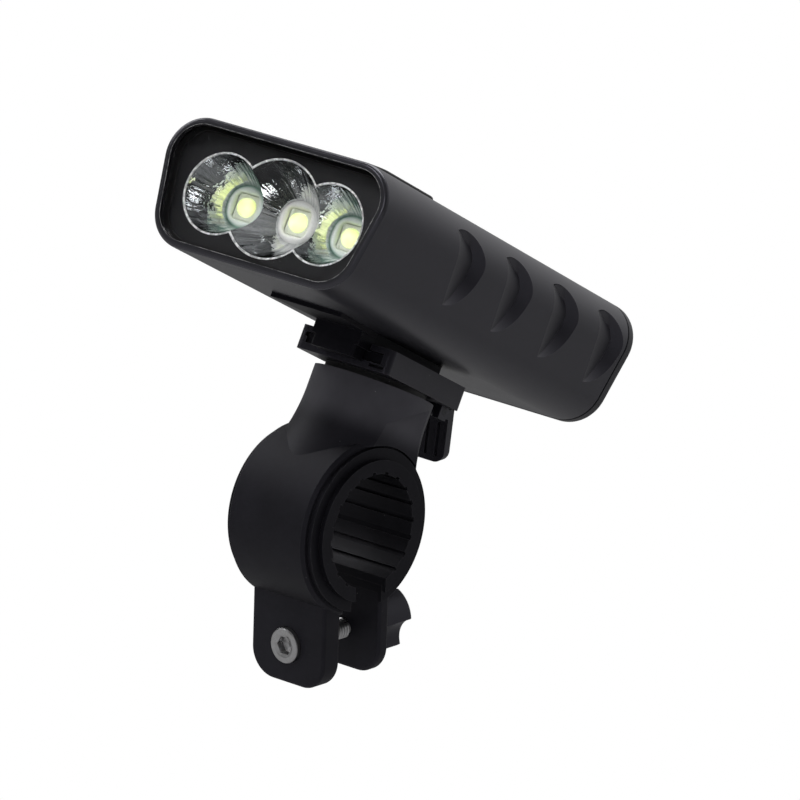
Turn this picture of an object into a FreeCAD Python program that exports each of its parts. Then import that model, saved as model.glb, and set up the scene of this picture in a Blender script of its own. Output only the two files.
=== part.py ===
# Three-emitter bicycle headlight on a quick-release bracket and a handlebar clamp.
# Millimetres. Origin at the centre of the clamp bore, +Z up, lamp facing -Y.
# Lamp parts are drawn from the lamp's front face (y) and underside (z), bracket parts
# from the swivel axis and the bracket's bottom, clamp parts from the bore centre.
import FreeCAD, Part
import math
import os
import re
import Sketcher

os.makedirs("parts", exist_ok=True)
doc = FreeCAD.newDocument("BikeLight")
sheet = doc.addObject("Spreadsheet::Sheet", "Sizes")

drivingSizes = {
    # lamp section, a rounded trapezoid that is wider at the top
    "topHalf": 26.0,
    "bottomHalf": 21.3,
    "caseHeight": 25.0,
    "caseLength": 108.0,
    "topCorner": 7.5,
    "bottomCorner": 7.7,
    "caseWall": 2.0,
    "sideWall": 3.1,
    "pocketWall": 1.9,
    "fitGap": 0.1,
    # front end
    "bezelDepth": 5.0,
    "bezelRim": 1.4,
    "bezelWall": 0.9,
    "bezelRound": 0.9,
    "lensRecess": 1.2,
    "lensThick": 1.8,
    "gasketThick": 0.8,
    "gasketWidth": 1.0,
    "maskThick": 1.0,
    "cupSpacing": 11.7,
    "cupDrop": 0.2,
    "sideCupRadius": 7.6,
    "centreCupRadius": 9.3,
    "cupWall": 0.6,
    "cupLip": 0.3,
    "cupFoot": 4.1,
    "cupDepth": 9.8,
    "collarThick": 0.9,
    "collarRadius": 4.5,
    "emitterSide": 5.0,
    "emitterThick": 0.5,
    "domeRadius": 1.95,
    "boardThick": 1.6,
    "sinkPlate": 3.0,
    "sinkRim": 1.8,
    "sinkRimWidth": 2.5,
    # batteries and electronics
    "driverThick": 1.4,
    "switchBay": 5.6,
    "cradlePlate": 1.0,
    "tabThick": 0.3,
    "cellRadius": 9.15,
    "cellEndRoom": 43.0,
    "cellSpacing": 18.5,
    "spineHalf": 2.4,
    "portBoardHeight": 8.6,
    "portBoardHalf": 11.0,
    "largePortWidth": 13.2,
    "largePortHeight": 5.8,
    "largePortOffset": 5.6,
    "smallPortWidth": 7.6,
    "smallPortHeight": 2.8,
    "smallPortDepth": 5.6,
    "smallPortOffset": 7.6,
    "portShell": 0.35,
    # tail
    "sealThick": 0.6,
    "sealInset": 0.55,
    "tailDepth": 3.5,
    "tailRound": 2.2,
    "skirtDepth": 3.0,
    "skirtWall": 1.2,
    "bossRadius": 2.6,
    "bossLength": 5.4,
    "screwTopInset": 6.4,
    "screwTopDrop": 5.4,
    "screwLowInset": 5.7,
    "screwLowZ": 4.4,
    "tailScrewRadius": 1.2,
    "tailHeadRadius": 1.95,
    "tailHeadHeight": 1.4,
    "coverHalf": 13.7,
    "coverLow": 7.8,
    "coverHigh": 18.2,
    "coverThick": 1.5,
    "coverGap": 0.3,
    "coverSink": 1.05,
    "coverPinRadius": 0.4,
    # button pad on the top
    "padHalf": 17.0,
    "padFront": 6.0,
    "padRear": 30.6,
    "padSink": 0.6,
    "padRise": 0.7,
    "padCorner": 4.0,
    "buttonRadius": 4.5,
    "buttonRise": 0.5,
    "buttonTravel": 0.6,
    "stemRadius": 2.3,
    "windowPitch": 4.0,
    "windowWidth": 2.4,
    "windowDepth": 1.1,
    "windowY": 12.0,
    # scoops along both sides
    "scoopCount": 4,
    "scoopPitch": 20.4,
    "scoopStart": 30.9,
    "scoopHeight": 16.0,
    "scoopRadius": 8.6,
    "scoopReach": 10.8,
    "scoopDepth": 2.0,
    "scoopWall": 2.4,
    "scoopLean": 20.0,
    # shoe under the lamp and the rails that hold it
    "bracketHalf": 10.5,
    "bracketFront": 15.0,
    "bracketRear": 16.0,
    "bracketHeight": 4.7,
    "floorThick": 1.4,
    "channelHeight": 2.1,
    "channelHalf": 8.6,
    "slotHalf": 5.4,
    "rearWall": 2.9,
    "railGap": 2.2,
    "slideGap": 0.15,
    "shoePlateThick": 0.9,
    "shoePlateFront": 33.4,
    "shoePlateHalf": 8.0,
    "noseReach": 4.6,
    "noseHalf": 4.7,
    "shoeScrewRadius": 1.2,
    "shoeHeadRadius": 2.5,
    "shoeScrewFront": 9.5,
    "shoeScrewRear": 6.0,
    # release lever
    "leverHalf": 6.7,
    "leverPivotY": 14.6,
    "leverPivotDrop": 0.9,
    "leverHub": 1.5,
    "leverPinRadius": 0.7,
    "leverTabY": 19.2,
    "leverTabThick": 1.9,
    "leverTabDrop": 10.2,
    "leverTilt": 25.0,
    "catchFront": 10.8,
    "catchLength": 1.0,
    "leafThick": 0.3,
    "leafHalf": 2.6,
    # swivel
    "swivelFromFront": 59.1,
    "swivelAngle": 10.0,
    "spigotRadius": 8.0,
    "spigotDepth": 2.8,
    "washerThick": 1.2,
    "washerRadius": 10.2,
    "swivelScrewRadius": 2.5,
    "swivelHeadRadius": 4.7,
    "swivelHeadHeight": 2.2,
    "nutAcross": 8.0,
    "nutThick": 4.0,
    # clamp
    "neckTop": 26.9,
    "neckRadius": 12.0,
    "flareRadius": 36.0,
    "flareTop": 22.5,
    "neckFoot": 7.2,
    "flangeRoom": 0.45,
    "cheekRadius": 25.9,
    "cheekY": 11.6,
    "cheekZ": 0.4,
    "cheekStep": 1.0,
    "ringRadius": 17.1,
    "ringHalf": 9.8,
    "ringChamfer": 0.6,
    "barRadius": 11.1,
    "innerLinerWall": 1.55,
    "outerLinerWall": 1.55,
    "linerGap": 0.05,
    "linerFlange": 1.0,
    "innerFlangeRadius": 13.8,
    "outerFlangeRadius": 15.9,
    "linerSlotHalf": 4.2,
    "ribGrooves": 20,
    "ribGrooveWidth": 1.0,
    "ribGrooveDepth": 0.45,
    # ears, bolt and knob, measured along and across the bolt
    "earLean": 27.0,
    "earGapHalf": 5.4,
    "frontEarThick": 4.6,
    "rearEarThick": 2.8,
    "earHalf": 9.4,
    "earReach": 31.0,
    "earCorner": 5.5,
    "boltDrop": 23.3,
    "boltRadius": 2.0,
    "boltHeadRadius": 3.5,
    "boltHeadHeight": 3.0,
    "boltHeadSink": 1.9,
    "boltPitch": 0.7,
    "knobWasherThick": 0.8,
    "knobWasherRadius": 4.6,
    "knobRadius": 6.4,
    "knobLength": 9.4,
    "knobFlutes": 3,
    "knobFluteRadius": 4.4,
    "insertAcross": 6.0,
}

followingSizes = {
    "cupHeight": "=caseHeight / 2 - cupDrop",
    "cellLength": "=caseLength - cellEndRoom",
    "screwTopX": "=topHalf - screwTopInset",
    "screwTopZ": "=caseHeight - screwTopDrop",
    "screwLowX": "=bottomHalf - screwLowInset",
}

for row, (alias, amount) in enumerate((drivingSizes | followingSizes).items(), start=1):
    sheet.set(f"A{row}", alias)
    sheet.set(f"B{row}", str(amount))
    sheet.setAlias(f"B{row}", alias)
doc.recompute()
size = {alias: float(sheet.get(alias)) for alias in drivingSizes | followingSizes}

expressionWords = ("sqrt", "max", "min")
vector = FreeCAD.Vector
upright = FreeCAD.Rotation()
axisTurn = {
    "x": FreeCAD.Rotation(vector(0, 1, 0), 90),
    "y": FreeCAD.Rotation(vector(1, 0, 0), -90),
    "z": upright,
}
parts = []


def cells(text):
    """An expression in which every plain word is a cell of the sheet."""
    def named(word):
        return word.group() if word.group() in expressionWords else "Sizes." + word.group()
    return re.sub(r"[A-Za-z]\w*", named, str(text))


def block(name, x, y, z):
    """Box from a low and a high expression along each axis."""
    item = doc.addObject("Part::Box", name)
    for side, axis, (low, high) in zip(("Length", "Width", "Height"), "xyz", (x, y, z)):
        item.setExpression(side, cells(f"({high}) - ({low})"))
        item.setExpression("Placement.Base." + axis, cells(low))
    return item


def wide(name, half, y, z):
    """Box that reaches as far to -X as to +X."""
    return block(name, (f"-({half})", half), y, z)


def rod(name, axis, radius, centre, span):
    """Cylinder along one axis, between two expressions, round a centre given in the other two."""
    item = doc.addObject("Part::Cylinder", name)
    item.Placement = FreeCAD.Placement(vector(), axisTurn[axis])
    item.setExpression("Radius", cells(radius))
    item.setExpression("Height", cells(f"({span[1]}) - ({span[0]})"))
    others = [letter for letter in "xyz" if letter != axis]
    item.setExpression("Placement.Base." + axis, cells(span[0]))
    for letter, text in zip(others, centre):
        item.setExpression("Placement.Base." + letter, cells(text))
    return item


def cone(name, axis, radii, centre, span):
    """Cone frustum along one axis."""
    item = doc.addObject("Part::Cone", name)
    item.Placement = FreeCAD.Placement(vector(), axisTurn[axis])
    item.setExpression("Radius1", cells(radii[0]))
    item.setExpression("Radius2", cells(radii[1]))
    item.setExpression("Height", cells(f"({span[1]}) - ({span[0]})"))
    others = [letter for letter in "xyz" if letter != axis]
    item.setExpression("Placement.Base." + axis, cells(span[0]))
    for letter, text in zip(others, centre):
        item.setExpression("Placement.Base." + letter, cells(text))
    return item


def fuse(name, *items):
    """One solid from several that overlap or touch."""
    item = doc.addObject("Part::MultiFuse", name)
    item.Shapes = list(items)
    return item


def group(name, *items):
    """Several solids that stay apart, kept as one object."""
    item = doc.addObject("Part::Compound", name)
    item.Links = list(items)
    return item


def cut(name, base, *tools):
    """Base with every tool taken out of it."""
    item = doc.addObject("Part::Cut", name)
    item.Base = base
    item.Tool = tools[0] if len(tools) == 1 else fuse(name + "Tools", *tools)
    return item


def common(name, *items):
    """What all the items share."""
    item = doc.addObject("Part::MultiCommon", name)
    item.Shapes = list(items)
    return item


def roundEdges(name, base, radius, wanted, kind="Part::Fillet"):
    """Fillet or chamfer of the edges of base for which wanted(edge) is true."""
    doc.recompute()
    chosen = [number for number, edge in enumerate(base.Shape.Edges, start=1) if wanted(edge)]
    if not chosen:
        raise RuntimeError("no edge to round on " + name)
    item = doc.addObject(kind, name)
    item.Base = base
    item.Edges = [(number, radius, radius) for number in chosen]
    return item


def alongAxis(edge, axis):
    """True for a straight edge along the axis."""
    if not isinstance(edge.Curve, Part.Line):
        return False
    direction = edge.Curve.Direction
    return abs(abs(getattr(direction, axis)) - 1) < 1e-6


def edgesAlong(axis):
    return lambda edge: alongAxis(edge, axis)


def edgesAt(axis, place):
    """Edges whose whole length lies at one height of the axis."""
    axisName = axis.upper()

    def wanted(edge):
        bounds = edge.BoundBox
        return (abs(getattr(bounds, axisName + "Min") - place) < 1e-4
                and abs(getattr(bounds, axisName + "Max") - place) < 1e-4)
    return wanted


def keep(item, label, place):
    """Give a finished sub-part its name and its place on the assembly."""
    if item.ExpressionEngine:
        item = group(item.Name + "Placed", item)
    item.Label = label
    item.Placement = place.multiply(item.Placement)
    parts.append(item)
    return item


def section(name, sideInset, heightInset, start, end):
    """Slab of the lamp's section, drawn in from its outline, between two lengths from the front."""
    lean = "((topHalf - bottomHalf) / caseHeight)"
    shrink = f"({sideInset}) * sqrt(1 + {lean} * {lean})"
    low = f"({heightInset})"
    high = f"(caseHeight - ({heightInset}))"
    lowHalf = f"bottomHalf + {lean} * {low} - {shrink}"
    highHalf = f"bottomHalf + {lean} * {high} - {shrink}"
    body = doc.addObject("PartDesign::Body", name)
    planes = {feature.Role: feature for feature in body.Origin.OriginFeatures}
    sketch = body.newObject("Sketcher::SketchObject", name + "Outline")
    sketch.AttachmentSupport = [(planes["XZ_Plane"], "")]
    sketch.MapMode = "FlatFace"
    sketch.setExpression("AttachmentOffset.Base.z", cells(f"-({start})"))
    corners = [vector(-15, 1, 0), vector(15, 1, 0), vector(18, 20, 0), vector(-18, 20, 0)]
    for index, corner in enumerate(corners):
        sketch.addGeometry(Part.LineSegment(corner, corners[(index + 1) % 4]), False)
    for index in range(4):
        sketch.addConstraint(Sketcher.Constraint("Coincident", index, 2, (index + 1) % 4, 1))
    for index in (0, 2):
        sketch.addConstraint(Sketcher.Constraint("Symmetric", index, 1, index, 2, -2))
    for kind, line, point, text in (("DistanceX", 0, 2, lowHalf), ("DistanceX", 2, 1, highHalf),
                                    ("DistanceY", 0, 2, low), ("DistanceY", 2, 1, high)):
        guess = corners[1] if line == 0 else corners[2]
        amount = guess.x if kind == "DistanceX" else guess.y
        number = sketch.addConstraint(Sketcher.Constraint(kind, -1, 1, line, point, amount))
        sketch.setExpression(f"Constraints[{number}]", cells(text))
    pad = body.newObject("PartDesign::Pad", name + "Pad")
    pad.Profile = sketch
    pad.Reversed = True
    pad.setExpression("Length", cells(f"({end}) - ({start})"))
    doc.recompute()
    middle = pad.Shape.BoundBox.Center.z
    last = pad
    for word, corner, upper in (("Top", "topCorner", True), ("Low", "bottomCorner", False)):
        names = [f"Edge{number}" for number, edge in enumerate(last.Shape.Edges, start=1)
                 if alongAxis(edge, "y") and (edge.BoundBox.Center.z > middle) == upper
                 and abs(edge.BoundBox.Center.x) > 1]
        names = names[-2:] if upper and len(names) > 2 else names[:2]
        fillet = body.newObject("PartDesign::Fillet", name + word)
        fillet.Base = (last, names)
        fillet.setExpression("Radius", cells(f"max({corner} - ({sideInset}); 0.8)"))
        doc.recompute()
        last = fillet
    return body


def frame(name, outerInset, innerInset, start, end):
    """Closed band of the lamp's section between two insets."""
    outer = section(name + "Outer", outerInset, outerInset, start, end)
    inner = section(name + "Inner", innerInset, innerInset, f"({start}) - 1", f"({end}) + 1")
    return cut(name, outer, inner)


# Lengths from the lamp's front face, each following from the one before it
maskFront = "lensRecess + lensThick + gasketThick"
cupRear = f"{maskFront} + cupDepth"
boardFront = f"{cupRear} + fitGap + collarThick"
sinkFront = f"{boardFront} + boardThick"
sinkRear = f"{sinkFront} + sinkPlate + sinkRim"
driverRear = f"{sinkRear} + driverThick"
cradleFront = f"{driverRear} + switchBay"
cellFront = f"{cradleFront} + cradlePlate + tabThick"
cellRear = f"{cellFront} + cellLength"
cradleRear = f"{cellRear} + tabThick + cradlePlate"
sealRear = "caseLength - tailDepth"
caseRear = f"{sealRear} - sealThick"
coverFloor = "caseLength - coverSink - coverGap / 2"
buttonY = f"{driverRear} + switchBay / 2"

bracketLift = size["neckTop"] + size["washerThick"]
lampLift = bracketLift + size["bracketHeight"] + size["railGap"]
lampPlace = FreeCAD.Placement(vector(0, -size["swivelFromFront"], lampLift), upright)
bracketPlace = FreeCAD.Placement(vector(0, 0, bracketLift), upright)
clampPlace = FreeCAD.Placement(vector(), FreeCAD.Rotation(vector(0, 0, 1), -size["swivelAngle"]))
earTurn = FreeCAD.Placement(vector(), FreeCAD.Rotation(vector(1, 0, 0), size["earLean"] - 90))
earPlace = clampPlace.multiply(earTurn)


def sectionWire(inset, along):
    """The lamp's outline drawn in by an inset, as one closed wire across the lamp."""
    lean = (size["topHalf"] - size["bottomHalf"]) / size["caseHeight"]
    shrink = inset * math.sqrt(1 + lean ** 2)
    low, high = inset, size["caseHeight"] - inset
    lowHalf = size["bottomHalf"] + lean * low - shrink
    highHalf = size["bottomHalf"] + lean * high - shrink
    corners = [vector(-lowHalf, along, low), vector(lowHalf, along, low),
               vector(highHalf, along, high), vector(-highHalf, along, high)]
    names = ("bottomCorner", "bottomCorner", "topCorner", "topCorner")
    radii = [max(size[name] - inset, 0.8) for name in names]
    starts, arcs = [], []
    for index, (corner, radius) in enumerate(zip(corners, radii)):
        before = (corners[index - 1] - corner).normalize()
        after = (corners[(index + 1) % 4] - corner).normalize()
        half = before.getAngle(after) / 2
        reach = radius / math.tan(half)
        centre = corner + (before + after).normalize() * (radius / math.sin(half))
        middle = centre + (corner - centre).normalize() * radius
        starts.append((corner + before * reach, corner + after * reach))
        arcs.append(Part.Arc(starts[-1][0], middle, starts[-1][1]).toShape())
    edges = []
    for index in range(4):
        edges.append(arcs[index])
        edges.append(Part.makeLine(starts[index][1], starts[(index + 1) % 4][0]))
    return Part.Wire(edges)


def scoopCore(index):
    """The lamp's body as it would be if the scoop's floor ran all the way round it."""
    start = size["scoopStart"] + index * size["scoopPitch"]
    slant = math.tan(math.radians(size["scoopLean"]))
    shear = FreeCAD.Matrix()
    shear.A23 = -slant
    shear.A24 = slant * size["scoopHeight"]
    wires = []
    for share in (-1.1, -0.4, 0.0, 0.3, 0.6, 0.9, 1.35):
        inset = size["scoopDepth"] * share * (1.6 - 0.6 * max(share, 0))
        wires.append(sectionWire(inset, start + size["scoopReach"] * share).transformGeometry(shear))
    core = doc.addObject("Part::Feature", f"ScoopCore{index + 1}")
    core.Shape = Part.makeLoft(wires, True, False)
    return core


def scoopCutters():
    """Shallow scoops down both sides, from a straight ridge in front to a round slope at the rear."""
    tilt = math.degrees(math.atan2(size["topHalf"] - size["bottomHalf"], size["caseHeight"]))
    outward = size["bottomHalf"] + (size["topHalf"] - size["bottomHalf"]) \
        * size["scoopHeight"] / size["caseHeight"]
    setback = size["scoopRadius"] - size["scoopReach"]
    cutters = []
    for index in range(int(size["scoopCount"])):
        core = scoopCore(index)
        along = size["scoopStart"] + index * size["scoopPitch"]
        for side, word in ((1, "Right"), (-1, "Left")):
            mill = doc.addObject("Part::Cone", f"ScoopMill{word}{index + 1}")
            mill.Radius1 = size["scoopRadius"] - 1.3 * size["scoopWall"]
            mill.Radius2 = size["scoopRadius"] + size["scoopWall"]
            mill.Height = 2.3 * size["scoopDepth"]
            turn = FreeCAD.Rotation(vector(0, 1, 0), side * (90 + tilt))
            spot = vector(side * outward, along - setback, size["scoopHeight"])
            sink = vector(0, 0, 1.3 * size["scoopDepth"])
            mill.Placement = FreeCAD.Placement(spot - turn.multVec(sink), turn)
            start = f"(scoopStart + {index} * scoopPitch)"
            window = wide(f"ScoopWindow{word}{index + 1}", "topHalf + scoopDepth",
                          (f"{start} - scoopReach * 0.5", f"{start} + scoopReach * 1.1"),
                          ("0", "caseHeight"))
            blank = common(f"ScoopBlank{word}{index + 1}", mill, window)
            cutters.append(cut(f"Scoop{word}{index + 1}", blank, core))
    return cutters


def tailScrewSpots():
    return [(f"{sign}{across}", height, word)
            for across, height, word in (("screwTopX", "screwTopZ", "Top"),
                                         ("screwLowX", "screwLowZ", "Low"))
            for sign, word in (("-", word + "Left"), ("", word + "Right"))]


def padSlab(name, grow, low, high):
    """Rounded slab with the outline of the button pad."""
    slab = wide(name + "Slab", f"padHalf + {grow}", (f"padFront - {grow}", f"padRear + {grow}"),
                (low, high))
    return roundEdges(name, slab, size["padCorner"], edgesAlong("z"))


def windowSlots(name, grow, low, high):
    """Four small slots in a row across the pad."""
    slots = []
    for index in range(4):
        middle = f"({index} - 1.5) * windowPitch"
        slots.append(block(f"{name}{index + 1}",
                           (f"{middle} - windowWidth / 2 - {grow}", f"{middle} + windowWidth / 2 + {grow}"),
                           (f"windowY - windowDepth / 2 - {grow}", f"windowY + windowDepth / 2 + {grow}"),
                           (low, high)))
    return group(name, *slots)


def mainHousing():
    shell = section("HousingShell", "0", "0", "bezelDepth", caseRear)
    pocket = section("HousingPocket", "pocketWall", "pocketWall", "bezelDepth - 1", sinkRear)
    cavity = section("HousingCavity", "sideWall", "caseWall", f"{sinkRear} - 1", f"{caseRear} + 1")
    hollow = cut("HousingHollow", shell, pocket, cavity)
    bosses = []
    holes = []
    bossEnd = f"{caseRear} - skirtDepth - fitGap + sealThick"
    for x, z, word in tailScrewSpots():
        bosses.append(rod("Boss" + word, "y", "bossRadius", (x, z), (f"{bossEnd} - bossLength", bossEnd)))
        holes.append(rod("BossHole" + word, "y", "tailScrewRadius + fitGap / 2", (x, z),
                         (f"{bossEnd} - bossLength - 1", f"{bossEnd} + 1")))
    bossed = fuse("HousingBossed", hollow, *bosses)
    seat = padSlab("PadSeat", "fitGap / 2", "caseHeight - padSink", "caseHeight + 3")
    buttonWell = rod("ButtonWell", "z", "buttonRadius + fitGap", ("0", buttonY),
                     ("caseHeight - caseWall + 0.9", "caseHeight + 3"))
    stemHole = rod("StemHole", "z", "stemRadius + fitGap", ("0", buttonY),
                   ("caseHeight - caseWall - 1", "caseHeight + 3"))
    slots = windowSlots("HousingSlots", "0.05", "caseHeight - caseWall - 1", "caseHeight + 3")
    for word, y in (("Front", "-shoeScrewFront"), ("Rear", "shoeScrewRear")):
        holes.append(rod("ShoeHole" + word, "z", "shoeScrewRadius + fitGap / 2",
                         ("0", f"swivelFromFront + {y}"), ("-1", "caseWall + 1")))
    drilled = cut("HousingDrilled", bossed, seat, buttonWell, stemHole, slots, *holes)
    keep(cut("Housing", drilled, *scoopCutters()), "main_housing", lampPlace)


def frontBezel():
    outer = section("BezelOuter", "0", "0", "0", "bezelDepth")
    rounded = roundEdges("BezelRounded", outer, size["bezelRound"], edgesAt("y", 0.0))
    window = section("BezelWindow", "bezelRim", "bezelRim", "-1", "bezelDepth")
    seat = section("BezelSeat", "bezelWall", "bezelWall", "lensRecess", "bezelDepth + 1")
    keep(cut("Bezel", rounded, window, seat), "front_bezel", lampPlace)


def frontWindow():
    lensInset = "bezelWall + fitGap"
    lens = section("Lens", lensInset, lensInset, "lensRecess", "lensRecess + lensThick")
    keep(lens, "front_lens", lampPlace)
    seal = frame("LensSeal", lensInset, f"{lensInset} + gasketWidth",
                 "lensRecess + lensThick", maskFront)
    keep(seal, "lens_gasket", lampPlace)


def cupSpots():
    return [("Left", -size["cupSpacing"], size["sideCupRadius"]),
            ("Centre", 0.0, size["centreCupRadius"]),
            ("Right", size["cupSpacing"], size["sideCupRadius"])]


def lampLength(text):
    """A length from the front, as a number, from the same words that its expression uses."""
    return sum(size[word.strip()] for word in text.split("+"))


def cupSolid(middle, mouth, grow):
    """Solid of revolution under a parabola, from the cup's mouth to its foot."""
    front = lampLength(maskFront)
    depth = size["cupDepth"]
    foot = size["cupFoot"]
    steps = 6
    curve = []
    for step in range(steps + 1):
        share = step / steps
        radius = math.sqrt(mouth ** 2 + (foot ** 2 - mouth ** 2) * share)
        curve.append(vector(middle + radius + grow, front + depth * share, size["cupHeight"]))
    spline = Part.BSplineCurve()
    spline.interpolate(curve)
    frontAxis = vector(middle, front, size["cupHeight"])
    rearAxis = vector(middle, front + depth, size["cupHeight"])
    edges = [spline.toShape(), Part.makeLine(curve[-1], rearAxis),
             Part.makeLine(rearAxis, frontAxis), Part.makeLine(frontAxis, curve[0])]
    return Part.Face(Part.Wire(edges)).revolve(frontAxis, vector(0, 1, 0), 360)


def reflectorCluster():
    flangeFront = f"{maskFront} + maskThick"
    flange = section("CupFlange", "pocketWall + fitGap", "pocketWall + fitGap",
                     flangeFront, f"{flangeFront} + maskThick")
    doc.recompute()
    front = lampLength(maskFront)
    reach = 2 * size["topHalf"]
    ahead = Part.makeBox(2 * reach, size["maskThick"], reach, vector(-reach, front, 0))
    outer = flange.Shape
    for _, middle, mouth in cupSpots():
        lip = Part.makeCylinder(mouth + size["cupLip"], size["maskThick"],
                                vector(middle, front, size["cupHeight"]), vector(0, 1, 0))
        outer = outer.fuse(cupSolid(middle, mouth, size["cupWall"]).cut(ahead)).fuse(lip)
    for _, middle, mouth in cupSpots():
        outer = outer.cut(cupSolid(middle, mouth, 0.0))
    cluster = doc.addObject("Part::Feature", "Reflectors")
    cluster.Shape = outer
    keep(cluster, "reflector_cluster", lampPlace)


def reflectorMask():
    plate = section("MaskPlate", "bezelWall + fitGap", "bezelWall + fitGap",
                    maskFront, f"{maskFront} + maskThick")
    holes = []
    for word, middle, radius in (("Left", "-cupSpacing", "sideCupRadius"), ("Centre", "0", "centreCupRadius"),
                                 ("Right", "cupSpacing", "sideCupRadius")):
        holes.append(rod("MaskHole" + word, "y", f"{radius} + cupLip + fitGap / 2", (middle, "cupHeight"),
                         (f"{maskFront} - 1", f"{maskFront} + maskThick + 1")))
    keep(cut("Mask", plate, *holes), "reflector_mask", lampPlace)


def emitters():
    board = section("EmitterBoard", "pocketWall + fitGap", "pocketWall + fitGap", boardFront, sinkFront)
    screwHoles = boardScrewRods("BoardHole", "0.9", boardFront, sinkFront)
    keep(cut("Board", board, *screwHoles), "led_board", lampPlace)
    collars = []
    for word, middle in (("left", "-cupSpacing"), ("centre", "0"), ("right", "cupSpacing")):
        half = "emitterSide / 2"
        ring = rod("Collar" + word, "y", "collarRadius", (middle, "cupHeight"),
                   (f"{boardFront} - collarThick", boardFront))
        gap = block("CollarGap" + word, (f"{middle} - {half} - fitGap", f"{middle} + {half} + fitGap"),
                    (f"{boardFront} - collarThick - 1", f"{boardFront} + 1"),
                    (f"cupHeight - {half} - fitGap", f"cupHeight + {half} + fitGap"))
        collars.append(cut("CollarRing" + word, ring, gap))
        base = block("EmitterBase" + word, (f"{middle} - {half}", f"{middle} + {half}"),
                     (f"{boardFront} - emitterThick", boardFront),
                     (f"cupHeight - {half}", f"cupHeight + {half}"))
        dome = doc.addObject("Part::Sphere", "EmitterDome" + word)
        dome.setExpression("Radius", cells("domeRadius"))
        for letter, text in zip("xyz", (middle, f"{boardFront} - emitterThick", "cupHeight")):
            dome.setExpression("Placement.Base." + letter, cells(text))
        front = block("EmitterFront" + word, (f"{middle} - {half}", f"{middle} + {half}"),
                      (f"{boardFront} - emitterThick - domeRadius - 1", f"{boardFront} - emitterThick / 2"),
                      (f"cupHeight - {half}", f"cupHeight + {half}"))
        keep(fuse("Emitter" + word, base, common("DomeHalf" + word, dome, front)), "led_" + word, lampPlace)
    keep(group("Collars", *collars), "led_collars", lampPlace)


def boardScrewRods(name, radius, start, end):
    """Two rods where the emitter board is screwed to the heat sink."""
    spots = (("A", "-cupSpacing / 2", "bottomCorner - 4"), ("B", "cupSpacing / 2", "bottomCorner - 4"))
    return [rod(name + word, "y", radius, (x, z), (start, end)) for word, x, z in spots]


def heatSink():
    plate = section("SinkPlate", "pocketWall + fitGap", "pocketWall + fitGap", sinkFront, sinkRear)
    hollow = section("SinkHollow", "pocketWall + sinkRimWidth", "pocketWall + sinkRimWidth",
                     f"{sinkFront} + sinkPlate", f"{sinkRear} + 1")
    wells = boardScrewRods("SinkHole", "0.85", f"{sinkFront} - 1", f"{sinkFront} + 2.5")
    keep(cut("Sink", plate, hollow, *wells), "heat_sink", lampPlace)
    screws = []
    shanks = boardScrewRods("BoardShank", "0.8", f"{boardFront}", f"{sinkFront} + 2.2")
    heads = boardScrewRods("BoardHead", "1.5", f"{boardFront} - 0.9", boardFront)
    for word, shank, head in zip("AB", shanks, heads):
        screws.append(fuse("BoardScrew" + word, shank, head))
    keep(group("BoardScrews", *screws), "board_screws", lampPlace)


def driverBoard():
    plate = section("DriverPlate", "sideWall + fitGap", "caseWall + fitGap", sinkRear, driverRear)
    coil = rod("DriverCoil", "y", "3.2", ("-10", "8"), (driverRear, f"{driverRear} + 3.6"))
    cap = rod("DriverCap", "y", "1.8", ("10", "7"), (driverRear, f"{driverRear} + 4.2"))
    chips = [block(f"DriverChip{index}", (f"{x}", f"{x} + 4"), (driverRear, f"{driverRear} + 1.2"),
                   (f"{z}", f"{z} + 3")) for index, (x, z) in enumerate(((-3, 4), (2, 10), (-11, 14), (7, 14)))]
    keep(fuse("Driver", plate, coil, cap, *chips), "driver_board", lampPlace)


def batteryPack():
    for word, sign in (("left", "-"), ("right", "")):
        can = rod("CellCan" + word, "y", "cellRadius", (f"{sign}cellSpacing / 2", "caseHeight / 2"),
                  (cellFront, cellRear))
        rounded = roundEdges("Cell" + word, can, 0.8, lambda edge: isinstance(edge.Curve, Part.Circle))
        keep(rounded, "battery_cell_" + word, lampPlace)
    for word, start in (("front", f"{cellFront} - tabThick"), ("rear", cellRear)):
        tab = wide("Tab" + word, "cellSpacing / 2 + 3", (start, f"{start} + tabThick"),
                   ("caseHeight / 2 - 4", "caseHeight / 2 + 4"))
        keep(tab, "cell_tab_" + word, lampPlace)
    front = section("CradleFront", "sideWall + fitGap", "caseWall + fitGap",
                    cradleFront, f"{cradleFront} + cradlePlate")
    rear = section("CradleRear", "sideWall + fitGap", "caseWall + fitGap",
                   f"{cradleRear} - cradlePlate", cradleRear)
    low = wide("SpineLow", "spineHalf", (cradleFront, cradleRear),
               ("caseWall + fitGap", "caseWall + fitGap + 2.4"))
    high = wide("SpineHigh", "spineHalf", (cradleFront, cradleRear),
                ("caseHeight - caseWall - fitGap - 2.4", "caseHeight - caseWall - fitGap"))
    keep(fuse("Cradle", front, rear, low, high), "battery_cradle", lampPlace)


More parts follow.
